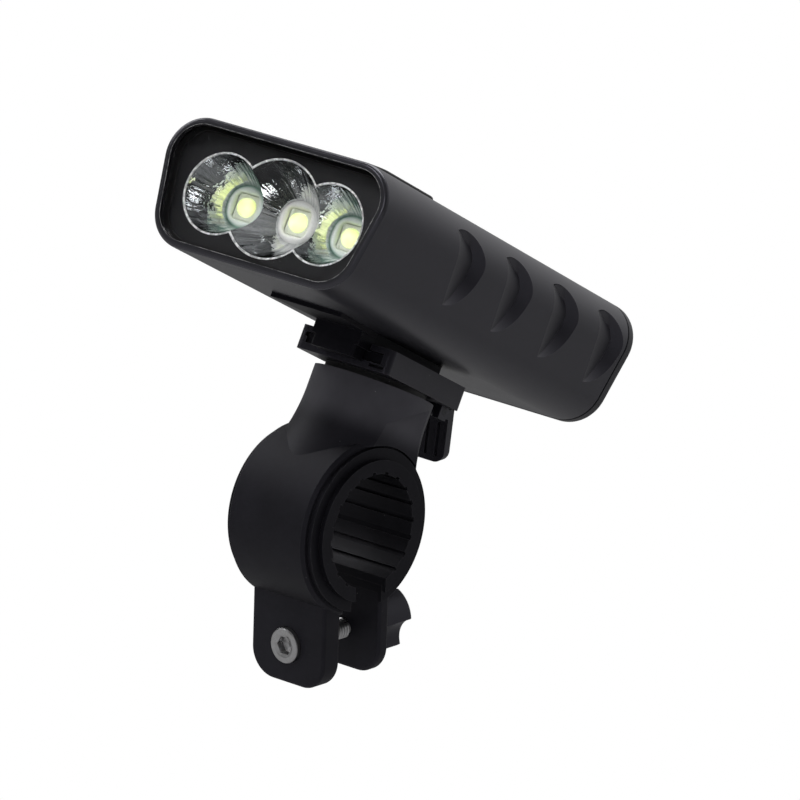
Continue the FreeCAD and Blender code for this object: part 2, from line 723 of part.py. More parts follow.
def powerSwitch():
    boardTop = "caseHeight - caseWall - 3.8"
    board = wide("SwitchPlate", "4", (driverRear, cradleFront), (f"{boardTop} - 0.8", boardTop))
    keep(board, "switch_board", lampPlace)
    can = wide("SwitchCan", "1.8", (f"{buttonY} - 1.8", f"{buttonY} + 1.8"), (boardTop, f"{boardTop} + 1.4"))
    plunger = rod("SwitchPlunger", "z", "0.9", ("0", buttonY), (boardTop, f"{boardTop} + 1.8"))
    keep(fuse("Switch", can, plunger), "tact_switch", lampPlace)
    capLow = "caseHeight - caseWall + 0.9 + buttonTravel + 0.1"
    capTop = "caseHeight + padRise + buttonRise"
    cap = rod("ButtonCap", "z", "buttonRadius", ("0", buttonY), (capLow, capTop))
    domed = roundEdges("ButtonDomed", cap, 0.5,
                       edgesAt("z", size["caseHeight"] + size["padRise"] + size["buttonRise"]))
    stem = rod("ButtonStem", "z", "stemRadius", ("0", buttonY), (f"{boardTop} + 2.5", capLow))
    lip = rod("ButtonLip", "z", "stemRadius + 0.35", ("0", buttonY),
              (f"{boardTop} + 2.5", "caseHeight - caseWall - 0.1"))
    keep(fuse("Button", domed, stem, lip), "power_button", lampPlace)
    slab = padSlab("PadSlab", "0", "caseHeight - padSink", "caseHeight + padRise")
    soft = roundEdges("PadSoft", slab, 0.5, edgesAt("z", size["caseHeight"] + size["padRise"]))
    hole = rod("PadHole", "z", "buttonRadius + fitGap", ("0", buttonY), ("caseHeight - 2", "caseHeight + 3"))
    slots = windowSlots("PadSlots", "0.05", "caseHeight - 2", "caseHeight + 3")
    keep(cut("Pad", soft, hole, slots), "button_pad", lampPlace)
    lights = windowSlots("Lights", "0", "caseHeight - caseWall", "caseHeight + padRise + 0.05")
    keep(lights, "indicator_windows", lampPlace)


def chargePorts():
    boardTop = "portBoardHeight + boardThick"
    board = wide("PortPlate", "portBoardHalf", (cradleRear, f"{sealRear} - 0.5"), ("portBoardHeight", boardTop))
    keep(board, "charge_board", lampPlace)
    largeLow = "-largePortOffset - largePortWidth / 2"
    largeHigh = "-largePortOffset + largePortWidth / 2"
    shell = block("LargeShell", (largeLow, largeHigh), (f"{cradleRear} + 0.2", coverFloor),
                  (boardTop, f"{boardTop} + largePortHeight"))
    inside = block("LargeInside", (f"{largeLow} + portShell", f"{largeHigh} - portShell"),
                   (f"{cradleRear} + 1.4", "caseLength + 1"),
                   (f"{boardTop} + portShell", f"{boardTop} + largePortHeight - portShell"))
    keep(cut("LargePort", shell, inside), "usb_a_port", lampPlace)
    tongue = block("Tongue", (f"{largeLow} + 1", f"{largeHigh} - 1"),
                   (f"{cradleRear} + 1.4", f"{coverFloor} - 2.2"),
                   (f"{boardTop} + largePortHeight - 2.8", f"{boardTop} + largePortHeight - 1"))
    keep(tongue, "usb_a_tongue", lampPlace)
    smallLow = "smallPortOffset - smallPortWidth / 2"
    smallHigh = "smallPortOffset + smallPortWidth / 2"
    can = block("SmallShell", (smallLow, smallHigh), (f"{coverFloor} - smallPortDepth", coverFloor),
                (boardTop, f"{boardTop} + smallPortHeight"))
    mouth = block("SmallInside", (f"{smallLow} + portShell", f"{smallHigh} - portShell"),
                  (f"{coverFloor} - smallPortDepth + 1", "caseLength + 1"),
                  (f"{boardTop} + portShell", f"{boardTop} + smallPortHeight - portShell"))
    pins = block("SmallPins", (f"{smallLow} + 1.6", f"{smallHigh} - 1.6"),
                 (f"{coverFloor} - smallPortDepth", f"{coverFloor} - 1"),
                 (f"{boardTop} + smallPortHeight / 2 - 0.3", f"{boardTop} + smallPortHeight / 2 + 0.3"))
    keep(fuse("SmallPort", cut("SmallCan", can, mouth), pins), "micro_usb_port", lampPlace)


def tailEnd():
    seal = frame("TailSealBand", "sealInset", "caseWall + 0.4", caseRear, sealRear)
    keep(seal, "tail_gasket", lampPlace)
    plate = section("TailPlate", "0", "0", sealRear, "caseLength")
    rounded = roundEdges("TailRounded", plate, size["tailRound"], edgesAt("y", size["caseLength"]))
    skirtOuter = section("SkirtOuter", "sideWall + fitGap", "caseWall + fitGap + 0.5",
                         f"{caseRear} - skirtDepth + sealThick", f"{sealRear} + 0.5")
    skirtInner = section("SkirtInner", "sideWall + fitGap + skirtWall", "caseWall + fitGap + 0.5 + skirtWall",
                         f"{caseRear} - skirtDepth", sealRear)
    capped = fuse("TailCapped", rounded, cut("Skirt", skirtOuter, skirtInner))
    recess = wide("CoverRecess", "coverHalf + coverGap", (coverFloor, "caseLength + 1"),
                  ("coverLow - coverGap", "coverHigh + coverGap"))
    boardTop = "portBoardHeight + boardThick"
    large = block("LargeWindow", ("-largePortOffset - largePortWidth / 2 - 0.2",
                                  "-largePortOffset + largePortWidth / 2 + 0.2"),
                  (f"{sealRear} - 1", "caseLength"), (f"{boardTop} - 0.2", f"{boardTop} + largePortHeight + 0.2"))
    small = block("SmallWindow", ("smallPortOffset - smallPortWidth / 2 - 0.2",
                                  "smallPortOffset + smallPortWidth / 2 + 0.2"),
                  (f"{sealRear} - 1", "caseLength"), (f"{boardTop} - 0.2", f"{boardTop} + smallPortHeight + 0.2"))
    tools = [recess, large, small]
    screws = []
    headFloor = "caseLength - tailHeadHeight - 0.3"
    for x, z, word in tailScrewSpots():
        tools.append(rod("TailWell" + word, "y", "tailHeadRadius + fitGap", (x, z), (headFloor, "caseLength + 1")))
        tools.append(rod("TailHole" + word, "y", "tailScrewRadius + fitGap", (x, z),
                         (f"{caseRear} - skirtDepth - 1", "caseLength")))
        head = rod("TailHead" + word, "y", "tailHeadRadius", (x, z), (headFloor, f"{headFloor} + tailHeadHeight"))
        shank = rod("TailShank" + word, "y", "tailScrewRadius", (x, z),
                    (f"{caseRear} - skirtDepth - 2", f"{headFloor} + 0.2"))
        socket = rod("TailSocket" + word, "y", "tailHeadRadius / 2", (x, z),
                     (f"{headFloor} + tailHeadHeight / 2", "caseLength + 1"))
        screws.append(cut("TailScrew" + word, fuse("TailRaw" + word, head, shank), socket))
    pinBore = rod("CoverPinBore", "x", "coverPinRadius + 0.05", (coverPivotY, coverPivotZ),
                  ("-coverHalf - 1.2", "coverHalf + 1.2"))
    tools.append(pinBore)
    keep(cut("Tail", capped, *tools), "tail_cap", lampPlace)
    keep(group("TailScrews", *screws), "tail_screws", lampPlace)


coverPivotY = f"{coverFloor} + coverGap / 2 + coverThick / 2"
coverPivotZ = "coverLow + coverThick / 2"


def portCover():
    inner = f"{coverFloor} + coverGap / 2"
    barrel = rod("CoverBarrel", "x", "coverThick / 2", (coverPivotY, coverPivotZ), ("-coverHalf", "coverHalf"))
    flap = wide("CoverFlap", "coverHalf", (inner, f"{inner} + coverThick"), (coverPivotZ, "coverHigh"))
    soft = roundEdges("CoverSoft", flap, 1.6,
                      lambda edge: alongAxis(edge, "y") and edge.BoundBox.Center.z > size["coverHigh"] - 1)
    grip = wide("CoverGrip", "4", (f"{inner} + coverThick", f"{inner} + coverThick + 0.7"),
                ("coverHigh - 2.2", "coverHigh - 1"))
    boardTop = "portBoardHeight + boardThick"
    largePlug = block("LargePlug", ("-largePortOffset - largePortWidth / 2 + 1.2",
                                    "-largePortOffset + largePortWidth / 2 - 1.2"),
                      (f"{inner} - 1", inner), (f"{boardTop} + 0.9", f"{boardTop} + largePortHeight - 1.1"))
    smallPlug = block("SmallPlug", ("smallPortOffset - smallPortWidth / 2 + 0.9",
                                    "smallPortOffset + smallPortWidth / 2 - 0.9"),
                      (f"{inner} - 0.6", inner), (f"{boardTop} + 0.8", f"{boardTop} + smallPortHeight - 0.8"))
    bore = rod("CoverBore", "x", "coverPinRadius + 0.05", (coverPivotY, coverPivotZ),
               ("-coverHalf - 1", "coverHalf + 1"))
    keep(cut("Cover", fuse("CoverRaw", barrel, soft, grip, largePlug, smallPlug), bore), "port_cover", lampPlace)
    pin = rod("CoverPin", "x", "coverPinRadius", (coverPivotY, coverPivotZ),
              ("-coverHalf - 1.1", "coverHalf + 1.1"))
    keep(pin, "cover_pin", lampPlace)


# Heights and lengths of the bracket, from its bottom and the swivel axis
channelTop = "floorThick + channelHeight"
channelEnd = "bracketRear - rearWall"
lampUnderside = "bracketHeight + railGap"
leverPivotZ = "-leverPivotDrop"


def mountShoe():
    flange = wide("ShoeFlange", "channelHalf - slideGap", ("-bracketFront + 0.4", f"{channelEnd} - slideGap"),
                  ("floorThick + slideGap", f"{channelTop} - slideGap"))
    web = wide("ShoeWeb", "slotHalf - slideGap", ("-bracketFront - noseReach", f"{channelEnd} - slideGap"),
               (f"{channelTop} - slideGap - 0.1", lampUnderside))
    nose = wide("ShoeNose", "noseHalf", ("-bracketFront - noseReach", "-bracketFront - slideGap"),
                ("0.9", f"{lampUnderside} - 0.2"))
    noseSoft = roundEdges("ShoeNoseSoft", nose, 0.6, edgesAlong("z"))
    plate = doc.addObject("Part::Wedge", "ShoePlate")
    plate.Placement = FreeCAD.Placement(vector(), FreeCAD.Rotation(vector(0, 0, 1), 0))
    narrow = "slotHalf - slideGap"
    for prop, text in (("Xmin", "-shoePlateHalf"), ("Xmax", "shoePlateHalf"),
                       ("X2min", f"-({narrow})"), ("X2max", narrow),
                       ("Ymin", "-shoePlateFront"), ("Ymax", "-bracketFront + 1"),
                       ("Zmin", f"{lampUnderside} - shoePlateThick"), ("Zmax", lampUnderside),
                       ("Z2min", f"{lampUnderside} - shoePlateThick"), ("Z2max", lampUnderside)):
        plate.setExpression(prop, cells(text))
    shape = fuse("ShoeRaw", flange, web, noseSoft, plate)
    notch = wide("ShoeNotch", "leafHalf + 0.3", ("catchFront - 0.4", "catchFront + catchLength + 0.4"),
                 ("floorThick - 1", f"{channelTop} - slideGap - 0.8"))
    headTop = "floorThick + slideGap + 1.6"
    tools = [notch]
    screws = []
    for word, y in (("Front", "-shoeScrewFront"), ("Rear", "shoeScrewRear")):
        tools.append(rod("ShoeBore" + word, "z", "shoeScrewRadius + fitGap / 2", ("0", y), ("0", "20")))
        tools.append(cone("ShoeSink" + word, "z", ("shoeHeadRadius + fitGap / 2", "shoeScrewRadius + fitGap / 2"),
                          ("0", y), ("floorThick + slideGap", headTop)))
        head = cone("ShoeHead" + word, "z", ("shoeHeadRadius", "shoeScrewRadius"), ("0", y),
                    ("floorThick + slideGap + 0.05", headTop))
        shank = rod("ShoeShank" + word, "z", "shoeScrewRadius", ("0", y),
                    (f"{headTop} - 0.2", f"{lampUnderside} + caseWall"))
        socket = rod("ShoeSocket" + word, "z", "shoeScrewRadius", ("0", y), ("0", "floorThick + slideGap + 0.9"))
        screws.append(cut("ShoeScrew" + word, fuse("ShoeScrewRaw" + word, head, shank), socket))
    keep(cut("Shoe", shape, *tools), "mount_shoe", bracketPlace)
    keep(group("ShoeScrews", *screws), "shoe_screws", bracketPlace)


def bracketBase():
    raw = wide("BracketRaw", "bracketHalf", ("-bracketFront", "bracketRear"), ("0", "bracketHeight"))
    soft = roundEdges("BracketSoft", raw, 1.2, edgesAlong("z"))
    spigot = rod("Spigot", "z", "spigotRadius", ("0", "0"), ("-spigotDepth", "0"))
    ears = []
    for word, low, high in (("Left", "-leverHalf - 1.5", "-leverHalf - fitGap"),
                            ("Right", "leverHalf + fitGap", "leverHalf + 1.5")):
        ears.append(block("LeverEar" + word, (low, high), ("bracketRear - 3", "bracketRear"), ("-2.6", "0.5")))
    body = fuse("BracketBody", soft, spigot, *ears)
    channel = wide("Channel", "channelHalf", ("-bracketFront - 1", channelEnd), ("floorThick", channelTop))
    slot = wide("Slot", "slotHalf", ("-bracketFront - 1", channelEnd), (f"{channelTop} - 0.1", "bracketHeight + 2"))
    headWell = rod("HeadWell", "z", "swivelHeadRadius + 0.3", ("0", "0"),
                   ("floorThick - swivelHeadHeight - 0.2", "floorThick + 0.1"))
    shankHole = rod("ShankHole", "z", "swivelScrewRadius + 0.05", ("0", "0"), ("-spigotDepth - 1", "floorThick"))
    leafSlot = wide("LeafSlot", "leafHalf + 0.6", ("catchFront - 0.6", "bracketRear + 1"), ("-3", "floorThick + 0.6"))
    hubRoom = wide("HubRoom", "leverHalf + fitGap", ("bracketRear - 3", "bracketRear + 1"),
                   ("-3", "leverHub - leverPivotDrop + 0.2"))
    pinBore = rod("LeverPinBore", "x", "leverPinRadius + 0.05", ("leverPivotY", leverPivotZ),
                  ("-leverHalf - 2", "leverHalf + 2"))
    rearNotch = wide("RearNotch", "bracketHalf + 1", ("bracketRear - 0.7", "bracketRear + 1"), ("2.3", "3.1"))
    pit = rod("FrontPit", "y", "0.5", ("-bracketHalf + 1.8", "3"), ("-bracketFront - 1", "-bracketFront + 1.2"))
    frontSlot = block("FrontSlot", ("bracketHalf - 4.4", "bracketHalf - 1"),
                      ("-bracketFront - 1", "-bracketFront + 1.5"), ("0.5", "1.1"))
    keep(cut("Bracket", body, channel, slot, headWell, shankHole, leafSlot, hubRoom, pinBore, rearNotch,
             pit, frontSlot), "bracket_base", bracketPlace)


def releaseLever():
    hub = rod("LeverHub", "x", "leverHub", ("leverPivotY", leverPivotZ), ("-leverHalf", "leverHalf"))
    armTop = f"{leverPivotZ} + leverHub - 0.6"
    arm = wide("LeverArm", "leverHalf", ("leverPivotY", "leverTabY + leverTabThick - 0.5"),
               (f"{armTop} - 1.8", armTop))
    tab = wide("LeverTab", "leverHalf", ("0", "leverTabThick"), ("-leverTabDrop", "0.8"))
    lowest = -size["leverTabDrop"]
    tabSoft = roundEdges("LeverTabSoft", tab, 2.4,
                         lambda edge: alongAxis(edge, "y") and edge.BoundBox.Center.z < lowest + 0.5)
    grooves = []
    for index in range(5):
        middle = f"({index} - 2) * 2.4"
        grooves.append(block(f"LeverGroove{index + 1}", (f"{middle} - 0.35", f"{middle} + 0.35"),
                             ("-0.5", "0.3"), ("-leverTabDrop + 1.2", "-2")))
    hanging = cut("LeverHanging", tabSoft, *grooves)
    hanging.Placement = FreeCAD.Placement(vector(0, size["leverTabY"], size["leverHub"] - size["leverPivotDrop"] - 1.4),
                                          FreeCAD.Rotation(vector(1, 0, 0), size["leverTilt"]))
    pinBore = rod("HubBore", "x", "leverPinRadius + 0.05", ("leverPivotY", leverPivotZ),
                  ("-leverHalf - 1", "leverHalf + 1"))
    leafSeat = wide("LeafSeat", "leafHalf + fitGap", ("leverPivotY - 2", "leverPivotY + 0.8"),
                    (f"{leverPivotZ} + leverHub - leafThick - 0.05", "3"))
    keep(cut("Lever", fuse("LeverRaw", hub, arm, hanging), pinBore, leafSeat),
         "release_lever", bracketPlace)
    leafLow = f"{leverPivotZ} + leverHub - leafThick"
    leaf = wide("Leaf", "leafHalf", ("catchFront - 0.2", "leverPivotY + 0.7"), (leafLow, f"{leafLow} + leafThick"))
    tooth = wide("LeafTooth", "leafHalf", ("catchFront", "catchFront + catchLength"),
                 (leafLow, "floorThick + slideGap + 0.6"))
    keep(fuse("LatchSpring", leaf, tooth), "latch_spring", bracketPlace)
    pin = rod("LeverPin", "x", "leverPinRadius", ("leverPivotY", leverPivotZ),
              ("-leverHalf - 1.5", "leverHalf + 1.5"))
    keep(pin, "lever_pin", bracketPlace)


def hexPrism(name, across, low, high):
    """Upright hexagonal bar on the Z axis."""
    bar = doc.addObject("Part::Prism", name)
    bar.Polygon = 6
    bar.setExpression("Circumradius", cells(f"({across}) / sqrt(3)"))
    bar.setExpression("Height", cells(f"({high}) - ({low})"))
    bar.setExpression("Placement.Base.z", cells(low))
    return bar


boreRadius = "barRadius + innerLinerWall + outerLinerWall + 2 * linerGap"
nutLow = f"{boreRadius} + 0.4"
screwTop = "neckTop + washerThick + floorThick - swivelHeadHeight - 0.15"


def swivelHardware():
    ring = rod("WasherDisc", "z", "washerRadius", ("0", "0"), ("neckTop", "neckTop + washerThick"))
    hole = rod("WasherHole", "z", "spigotRadius + fitGap", ("0", "0"), ("neckTop - 1", "neckTop + washerThick + 1"))
    keep(cut("SwivelWasher", ring, hole), "swivel_washer", clampPlace)
    head = rod("SwivelHead", "z", "swivelHeadRadius", ("0", "0"), (screwTop, f"{screwTop} + swivelHeadHeight"))
    shank = rod("SwivelShank", "z", "swivelScrewRadius", ("0", "0"), (f"{nutLow} + 0.2", f"{screwTop} + 0.1"))
    socket = hexPrism("SwivelSocket", "4", f"{screwTop} + 0.8", f"{screwTop} + swivelHeadHeight + 1")
    keep(cut("SwivelScrew", fuse("SwivelRaw", head, shank), socket), "swivel_screw", clampPlace)
    nut = hexPrism("NutBar", "nutAcross", nutLow, f"{nutLow} + nutThick")
    thread = rod("NutThread", "z", "swivelScrewRadius + 0.02", ("0", "0"), (f"{nutLow} - 1", f"{nutLow} + nutThick + 1"))
    keep(cut("SwivelNut", nut, thread), "swivel_nut", clampPlace)


def turnedNeck():
    """Round neck whose foot flares out in one large arc until it meets the ring."""
    radius, arc = size["neckRadius"], size["flareRadius"]
    foot, arcTop, top = size["neckFoot"], size["flareTop"], size["neckTop"]

    def onArc(height):
        return vector(radius + arc - math.sqrt(arc ** 2 - (arcTop - height) ** 2), 0, height)
    corners = [onArc(foot), onArc(arcTop), vector(radius, 0, top), vector(0, 0, top), vector(0, 0, foot)]
    edges = [Part.Arc(corners[0], onArc((foot + arcTop) / 2), corners[1]).toShape()]
    edges += [Part.makeLine(corners[index], corners[(index + 1) % 5]) for index in range(1, 5)]
    half = doc.addObject("Part::Feature", "NeckHalf")
    half.Shape = Part.Face(Part.Wire(edges))
    neck = doc.addObject("Part::Revolution", "Neck")
    neck.Source = half
    neck.Axis = vector(0, 0, 1)
    neck.Solid = True
    return neck


def clampBody():
    drum = rod("RingDrum", "x", "ringRadius", ("0", "0"), ("-ringHalf", "ringHalf"))
    ring = roundEdges("RingSoft", drum, size["ringChamfer"],
                      lambda edge: isinstance(edge.Curve, Part.Circle), "Part::Chamfer")
    ears = []
    for word, near, far in (("Front", "-earGapHalf - frontEarThick", "-earGapHalf"),
                            ("Rear", "earGapHalf", "earGapHalf + rearEarThick")):
        ear = wide("Ear" + word, "earHalf", ("ringRadius * 0.7", "earReach"), (near, far))
        reach = size["earReach"]
        soft = roundEdges("EarSoft" + word, ear, size["earCorner"],
                          lambda edge: alongAxis(edge, "z") and edge.BoundBox.Center.y > reach - 0.1)
        crisp = roundEdges("EarCrisp" + word, soft, 0.7,
                           lambda edge: edge.BoundBox.YMin > size["ringRadius"] * 0.7 + 0.5
                           and edge.BoundBox.ZLength < 0.01)
        crisp.Placement = earTurn
        ears.append(crisp)
    solid = fuse("ClampSolid", ring, turnedNeck(), *ears)
    bore = rod("ClampBore", "x", boreRadius, ("0", "0"), ("-ringHalf - 3", "ringHalf + 3"))
    gap = group("EarGapTurned", wide("EarGap", "ringHalf + 3", ("0", "earReach + 5"),
                                     ("-earGapHalf", "earGapHalf")))
    gap.Placement = earTurn
    rooms = [rod("FlangeRoom" + word, "x", "outerFlangeRadius + flangeRoom", ("0", "0"), span)
             for word, span in (("Near", ("ringHalf", "ringHalf + 6")), ("Far", ("-ringHalf - 6", "-ringHalf")))]
    rooms.append(rod("CheekCut", "x", "cheekRadius", ("cheekY", "cheekZ"),
                     ("ringHalf + cheekStep", "ringHalf + 6")))
    well = rod("SpigotWell", "z", "spigotRadius + 0.05", ("0", "0"),
               ("neckTop + washerThick - spigotDepth - 0.1", "neckTop + 1"))
    shaft = rod("NeckShaft", "z", "swivelScrewRadius + fitGap", ("0", "0"), ("0", "neckTop"))
    pocket = hexPrism("NutPocket", "nutAcross + 0.2", "0", f"{nutLow} + nutThick + 0.1")
    boltHole = rod("BoltHole", "z", "boltRadius + fitGap", ("0", "boltDrop"),
                   ("-earGapHalf - frontEarThick - 1", "earGapHalf + rearEarThick + 1"))
    headWell = rod("BoltWell", "z", "boltHeadRadius + fitGap", ("0", "boltDrop"),
                   ("-earGapHalf - frontEarThick - 1", "-earGapHalf - frontEarThick + boltHeadSink"))
    drill = fuse("BoltDrill", boltHole, headWell)
    drill.Placement = earTurn
    keep(cut("Clamp", solid, bore, gap, well, shaft, pocket, drill, *rooms), "clamp_body", clampPlace)


def splitTool(name, half):
    """Slot through a liner, facing the gap between the ears."""
    tool = wide(name + "Block", half, ("0", "ringRadius"), ("-linerSlotHalf", "linerSlotHalf"))
    turned = group(name, tool)
    turned.Placement = earTurn
    return turned


def liners():
    innerHalf = "ringHalf + 2 * linerFlange + 2 * linerGap"
    outerHalf = "ringHalf + linerFlange + linerGap"
    middle = "barRadius + innerLinerWall"
    for word, low, high, half, flangeRadius, flangeStart in (
            ("Outer", f"{middle} + linerGap", f"{middle} + linerGap + outerLinerWall", outerHalf,
             "outerFlangeRadius", "ringHalf + linerGap"),
            ("Inner", "barRadius", middle, innerHalf, "innerFlangeRadius", f"{outerHalf} + linerGap")):
        tube = rod(word + "Tube", "x", high, ("0", "0"), (f"-({half})", half))
        near = rod(word + "RimNear", "x", flangeRadius, ("0", "0"), (flangeStart, half))
        far = rod(word + "RimFar", "x", flangeRadius, ("0", "0"), (f"-({half})", f"-({flangeStart})"))
        bore = rod(word + "Bore", "x", low, ("0", "0"), (f"-({half}) - 1", f"({half}) + 1"))
        tools = [bore, splitTool(word + "Split", f"({half}) + 1")]
        if word == "Inner":
            tools += boreGrooves(half)
        keep(cut(word + "Liner", fuse(word + "Solid", tube, near, far), *tools),
             word.lower() + "_liner", clampPlace)


def boreGrooves(half):
    """Grooves along the bore that leave the gripping ribs standing between them."""
    grooves = []
    count = int(size["ribGrooves"])
    for index in range(1, count):
        angle = 360.0 * index / count
        groove = wide(f"RibGroove{index}", f"({half}) + 0.5", ("-ribGrooveWidth / 2", "ribGrooveWidth / 2"),
                      ("barRadius - 1", "barRadius + ribGrooveDepth"))
        turned = group(f"RibTurned{index}", groove)
        turned.Placement = FreeCAD.Placement(
            vector(), FreeCAD.Rotation(vector(1, 0, 0), size["earLean"] + 180 + angle))
        grooves.append(turned)
    return grooves


def boltAndKnob():
    headFace = "-earGapHalf - frontEarThick + boltHeadSink"
    knobLow = "earGapHalf + rearEarThick + knobWasherThick"
    knobHigh = f"{knobLow} + knobLength"
    centre = ("0", "boltDrop")
    head = rod("BoltHead", "z", "boltHeadRadius", centre, (f"{headFace} - boltHeadHeight", headFace))
    headSoft = roundEdges("BoltHeadSoft", head, 0.4, lambda edge: isinstance(edge.Curve, Part.Circle))
    shank = rod("BoltShank", "z", "boltRadius", centre, (f"{headFace} - 0.5", f"{knobHigh} - 1.2"))
    socket = hexPrism("BoltSocket", "3", f"{headFace} - boltHeadHeight - 1", f"{headFace} - 1")
    socket.setExpression("Placement.Base.y", cells("boltDrop"))
    keep(cut("Bolt", fuse("BoltRaw", headSoft, shank), socket), "clamp_bolt", earPlace)
    disc = rod("KnobWasherDisc", "z", "knobWasherRadius", centre, (f"{knobLow} - knobWasherThick", knobLow))
    eye = rod("KnobWasherEye", "z", "boltRadius + fitGap", centre, (f"{knobLow} - 2", f"{knobLow} + 1"))
    keep(cut("KnobWasher", disc, eye), "knob_washer", earPlace)
    blank = rod("KnobBlank", "z", "knobRadius", centre, (f"{knobLow} + 1.6", knobHigh))
    flutes = []
    count = int(size["knobFlutes"])
    for index in range(count):
        angle = math.radians(25) + 2 * math.pi * index / count
        flute = rod(f"KnobFlute{index + 1}", "z", "knobFluteRadius",
                    (f"(knobFluteRadius + knobRadius * 0.66) * {math.cos(angle):.6f}",
                     f"boltDrop + (knobFluteRadius + knobRadius * 0.66) * {math.sin(angle):.6f}"),
                    (f"{knobLow} + 1.4", f"{knobHigh} + 1"))
        flutes.append(flute)
    lobed = cut("KnobLobed", blank, *flutes)
    upperHalf = size["earGapHalf"] + size["rearEarThick"] + size["knobLength"] / 2
    soft = roundEdges("KnobSoft", lobed, 0.7,
                      lambda edge: edge.BoundBox.ZLength < 0.01 and edge.BoundBox.ZMin > upperHalf)
    foot = rod("KnobFoot", "z", "knobRadius * 0.78", centre, (knobLow, f"{knobLow} + 1.8"))
    bore = rod("KnobBore", "z", "boltRadius + fitGap", centre, (f"{knobLow} - 1", f"{knobHigh} - 0.9"))
    insertLow = f"{knobLow} + 0.6"
    insertHigh = f"{knobLow} + 5.2"
    pocket = hexPrism("InsertPocket", "insertAcross + 0.1", f"{knobLow} - 1", f"{insertHigh} + 0.05")
    insert = hexPrism("InsertBar", "insertAcross", insertLow, insertHigh)
    for item in (pocket, insert):
        item.setExpression("Placement.Base.y", cells("boltDrop"))
    thread = rod("InsertThread", "z", "boltRadius + 0.05", centre, (f"{knobLow} - 1", f"{knobHigh} + 1"))
    keep(cut("Knob", fuse("KnobSolid", soft, foot), bore, pocket), "thumb_knob", earPlace)
    keep(cut("KnobInsert", insert, thread), "knob_insert", earPlace)


for makePiece in (mainHousing, frontBezel, frontWindow, reflectorMask, reflectorCluster, emitters, heatSink,
                  driverBoard, batteryPack, powerSwitch, chargePorts, tailEnd, portCover, mountShoe,
                  bracketBase, releaseLever, swivelHardware, clampBody, liners, boltAndKnob):
    makePiece()

doc.recompute()
for item in doc.Objects:
    if "Invalid" in item.State or "Error" in item.State:
        raise RuntimeError(f"{item.Name} did not build: {item.State}")
for item in parts:
    if item.Shape.isNull() or not item.Shape.isValid():
        raise RuntimeError(f"{item.Label} has no valid shape")
for item in parts:
    item.Shape.exportStep(f"parts/{item.Label}.step")
    print(f"{item.Label}: {len(item.Shape.Solids)} solid, {item.Shape.Volume:.1f} mm3")
print(len(parts), "sub-parts")
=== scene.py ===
import math

import bmesh
import bpy
from mathutils import Matrix, Vector


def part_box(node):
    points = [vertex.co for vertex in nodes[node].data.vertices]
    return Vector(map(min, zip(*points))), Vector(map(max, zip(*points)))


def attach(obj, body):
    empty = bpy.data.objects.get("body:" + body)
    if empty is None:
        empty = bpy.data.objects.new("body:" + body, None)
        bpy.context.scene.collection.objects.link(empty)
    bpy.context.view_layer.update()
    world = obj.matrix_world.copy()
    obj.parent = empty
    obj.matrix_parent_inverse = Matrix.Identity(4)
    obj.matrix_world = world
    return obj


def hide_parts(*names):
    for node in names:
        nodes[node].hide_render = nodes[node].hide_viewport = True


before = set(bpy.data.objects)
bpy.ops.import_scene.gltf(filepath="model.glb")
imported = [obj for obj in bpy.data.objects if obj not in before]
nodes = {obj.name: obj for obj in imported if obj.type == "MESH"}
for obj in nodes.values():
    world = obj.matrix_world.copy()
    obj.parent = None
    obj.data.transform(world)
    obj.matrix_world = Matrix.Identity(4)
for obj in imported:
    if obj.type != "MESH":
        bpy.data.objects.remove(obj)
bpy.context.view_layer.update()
print("model loaded,", len(nodes), "nodes")

perMetre = 1000.0
noiseSpan = (0.3, 0.7)
wearPatches = (0.38, 0.62)
dustPatches = (0.42, 0.6)
ringWobble = 0.35
fullTurn = 2 * math.pi


# small helpers for shader trees

def addNode(tree, kind, inputs=None, **settings):
    node = tree.nodes.new("ShaderNode" + kind)
    for name, value in settings.items():
        setattr(node, name, value)
    for name, value in (inputs or {}).items():
        feed(tree, node, name, value)
    return node


def feed(tree, node, name, value):
    socket = node.inputs[name]
    if isinstance(value, bpy.types.NodeSocket):
        tree.links.new(value, socket)
    else:
        socket.default_value = value


def maths(tree, operation, first, second=0.0, third=0.0, clamp=False):
    node = addNode(tree, "Math", operation=operation, use_clamp=clamp)
    for index, value in enumerate((first, second, third)):
        feed(tree, node, index, value)
    return node.outputs[0]


def times(tree, first, second):
    return maths(tree, "MULTIPLY", first, second)


def timesPlus(tree, first, second, third):
    return maths(tree, "MULTIPLY_ADD", first, second, third)


def minus(tree, first, second):
    return maths(tree, "SUBTRACT", first, second)


def vectorMaths(tree, operation, first, second=(0, 0, 0), scale=None):
    node = addNode(tree, "VectorMath", operation=operation)
    feed(tree, node, 0, first)
    feed(tree, node, 1, second)
    if scale is not None:
        feed(tree, node, "Scale", scale)
    return node.outputs["Value" if operation in ("DOT_PRODUCT", "LENGTH") else "Vector"]


def ramp(tree, value, low, high, outLow=0.0, outHigh=1.0):
    node = addNode(tree, "MapRange", interpolation_type="SMOOTHSTEP")
    names = ("Value", "From Min", "From Max", "To Min", "To Max")
    for name, item in zip(names, (value, low, high, outLow, outHigh)):
        feed(tree, node, name, item)
    return node.outputs["Result"]


def noise(tree, place, scale, detail=2.0, roughness=0.5):
    inputs = {"Vector": place, "Scale": scale, "Detail": detail, "Roughness": roughness}
    return addNode(tree, "TexNoise", inputs).outputs["Fac"]


def mixColour(tree, factor, first, second):
    node = addNode(tree, "Mix", data_type="RGBA")
    feed(tree, node, 0, factor)
    for index, colour in ((6, first), (7, second)):
        linked = isinstance(colour, bpy.types.NodeSocket)
        feed(tree, node, index, colour if linked else (*colour, 1))
    return node.outputs[2]


def placed(tree):
    return addNode(tree, "TexCoord").outputs["Object"]


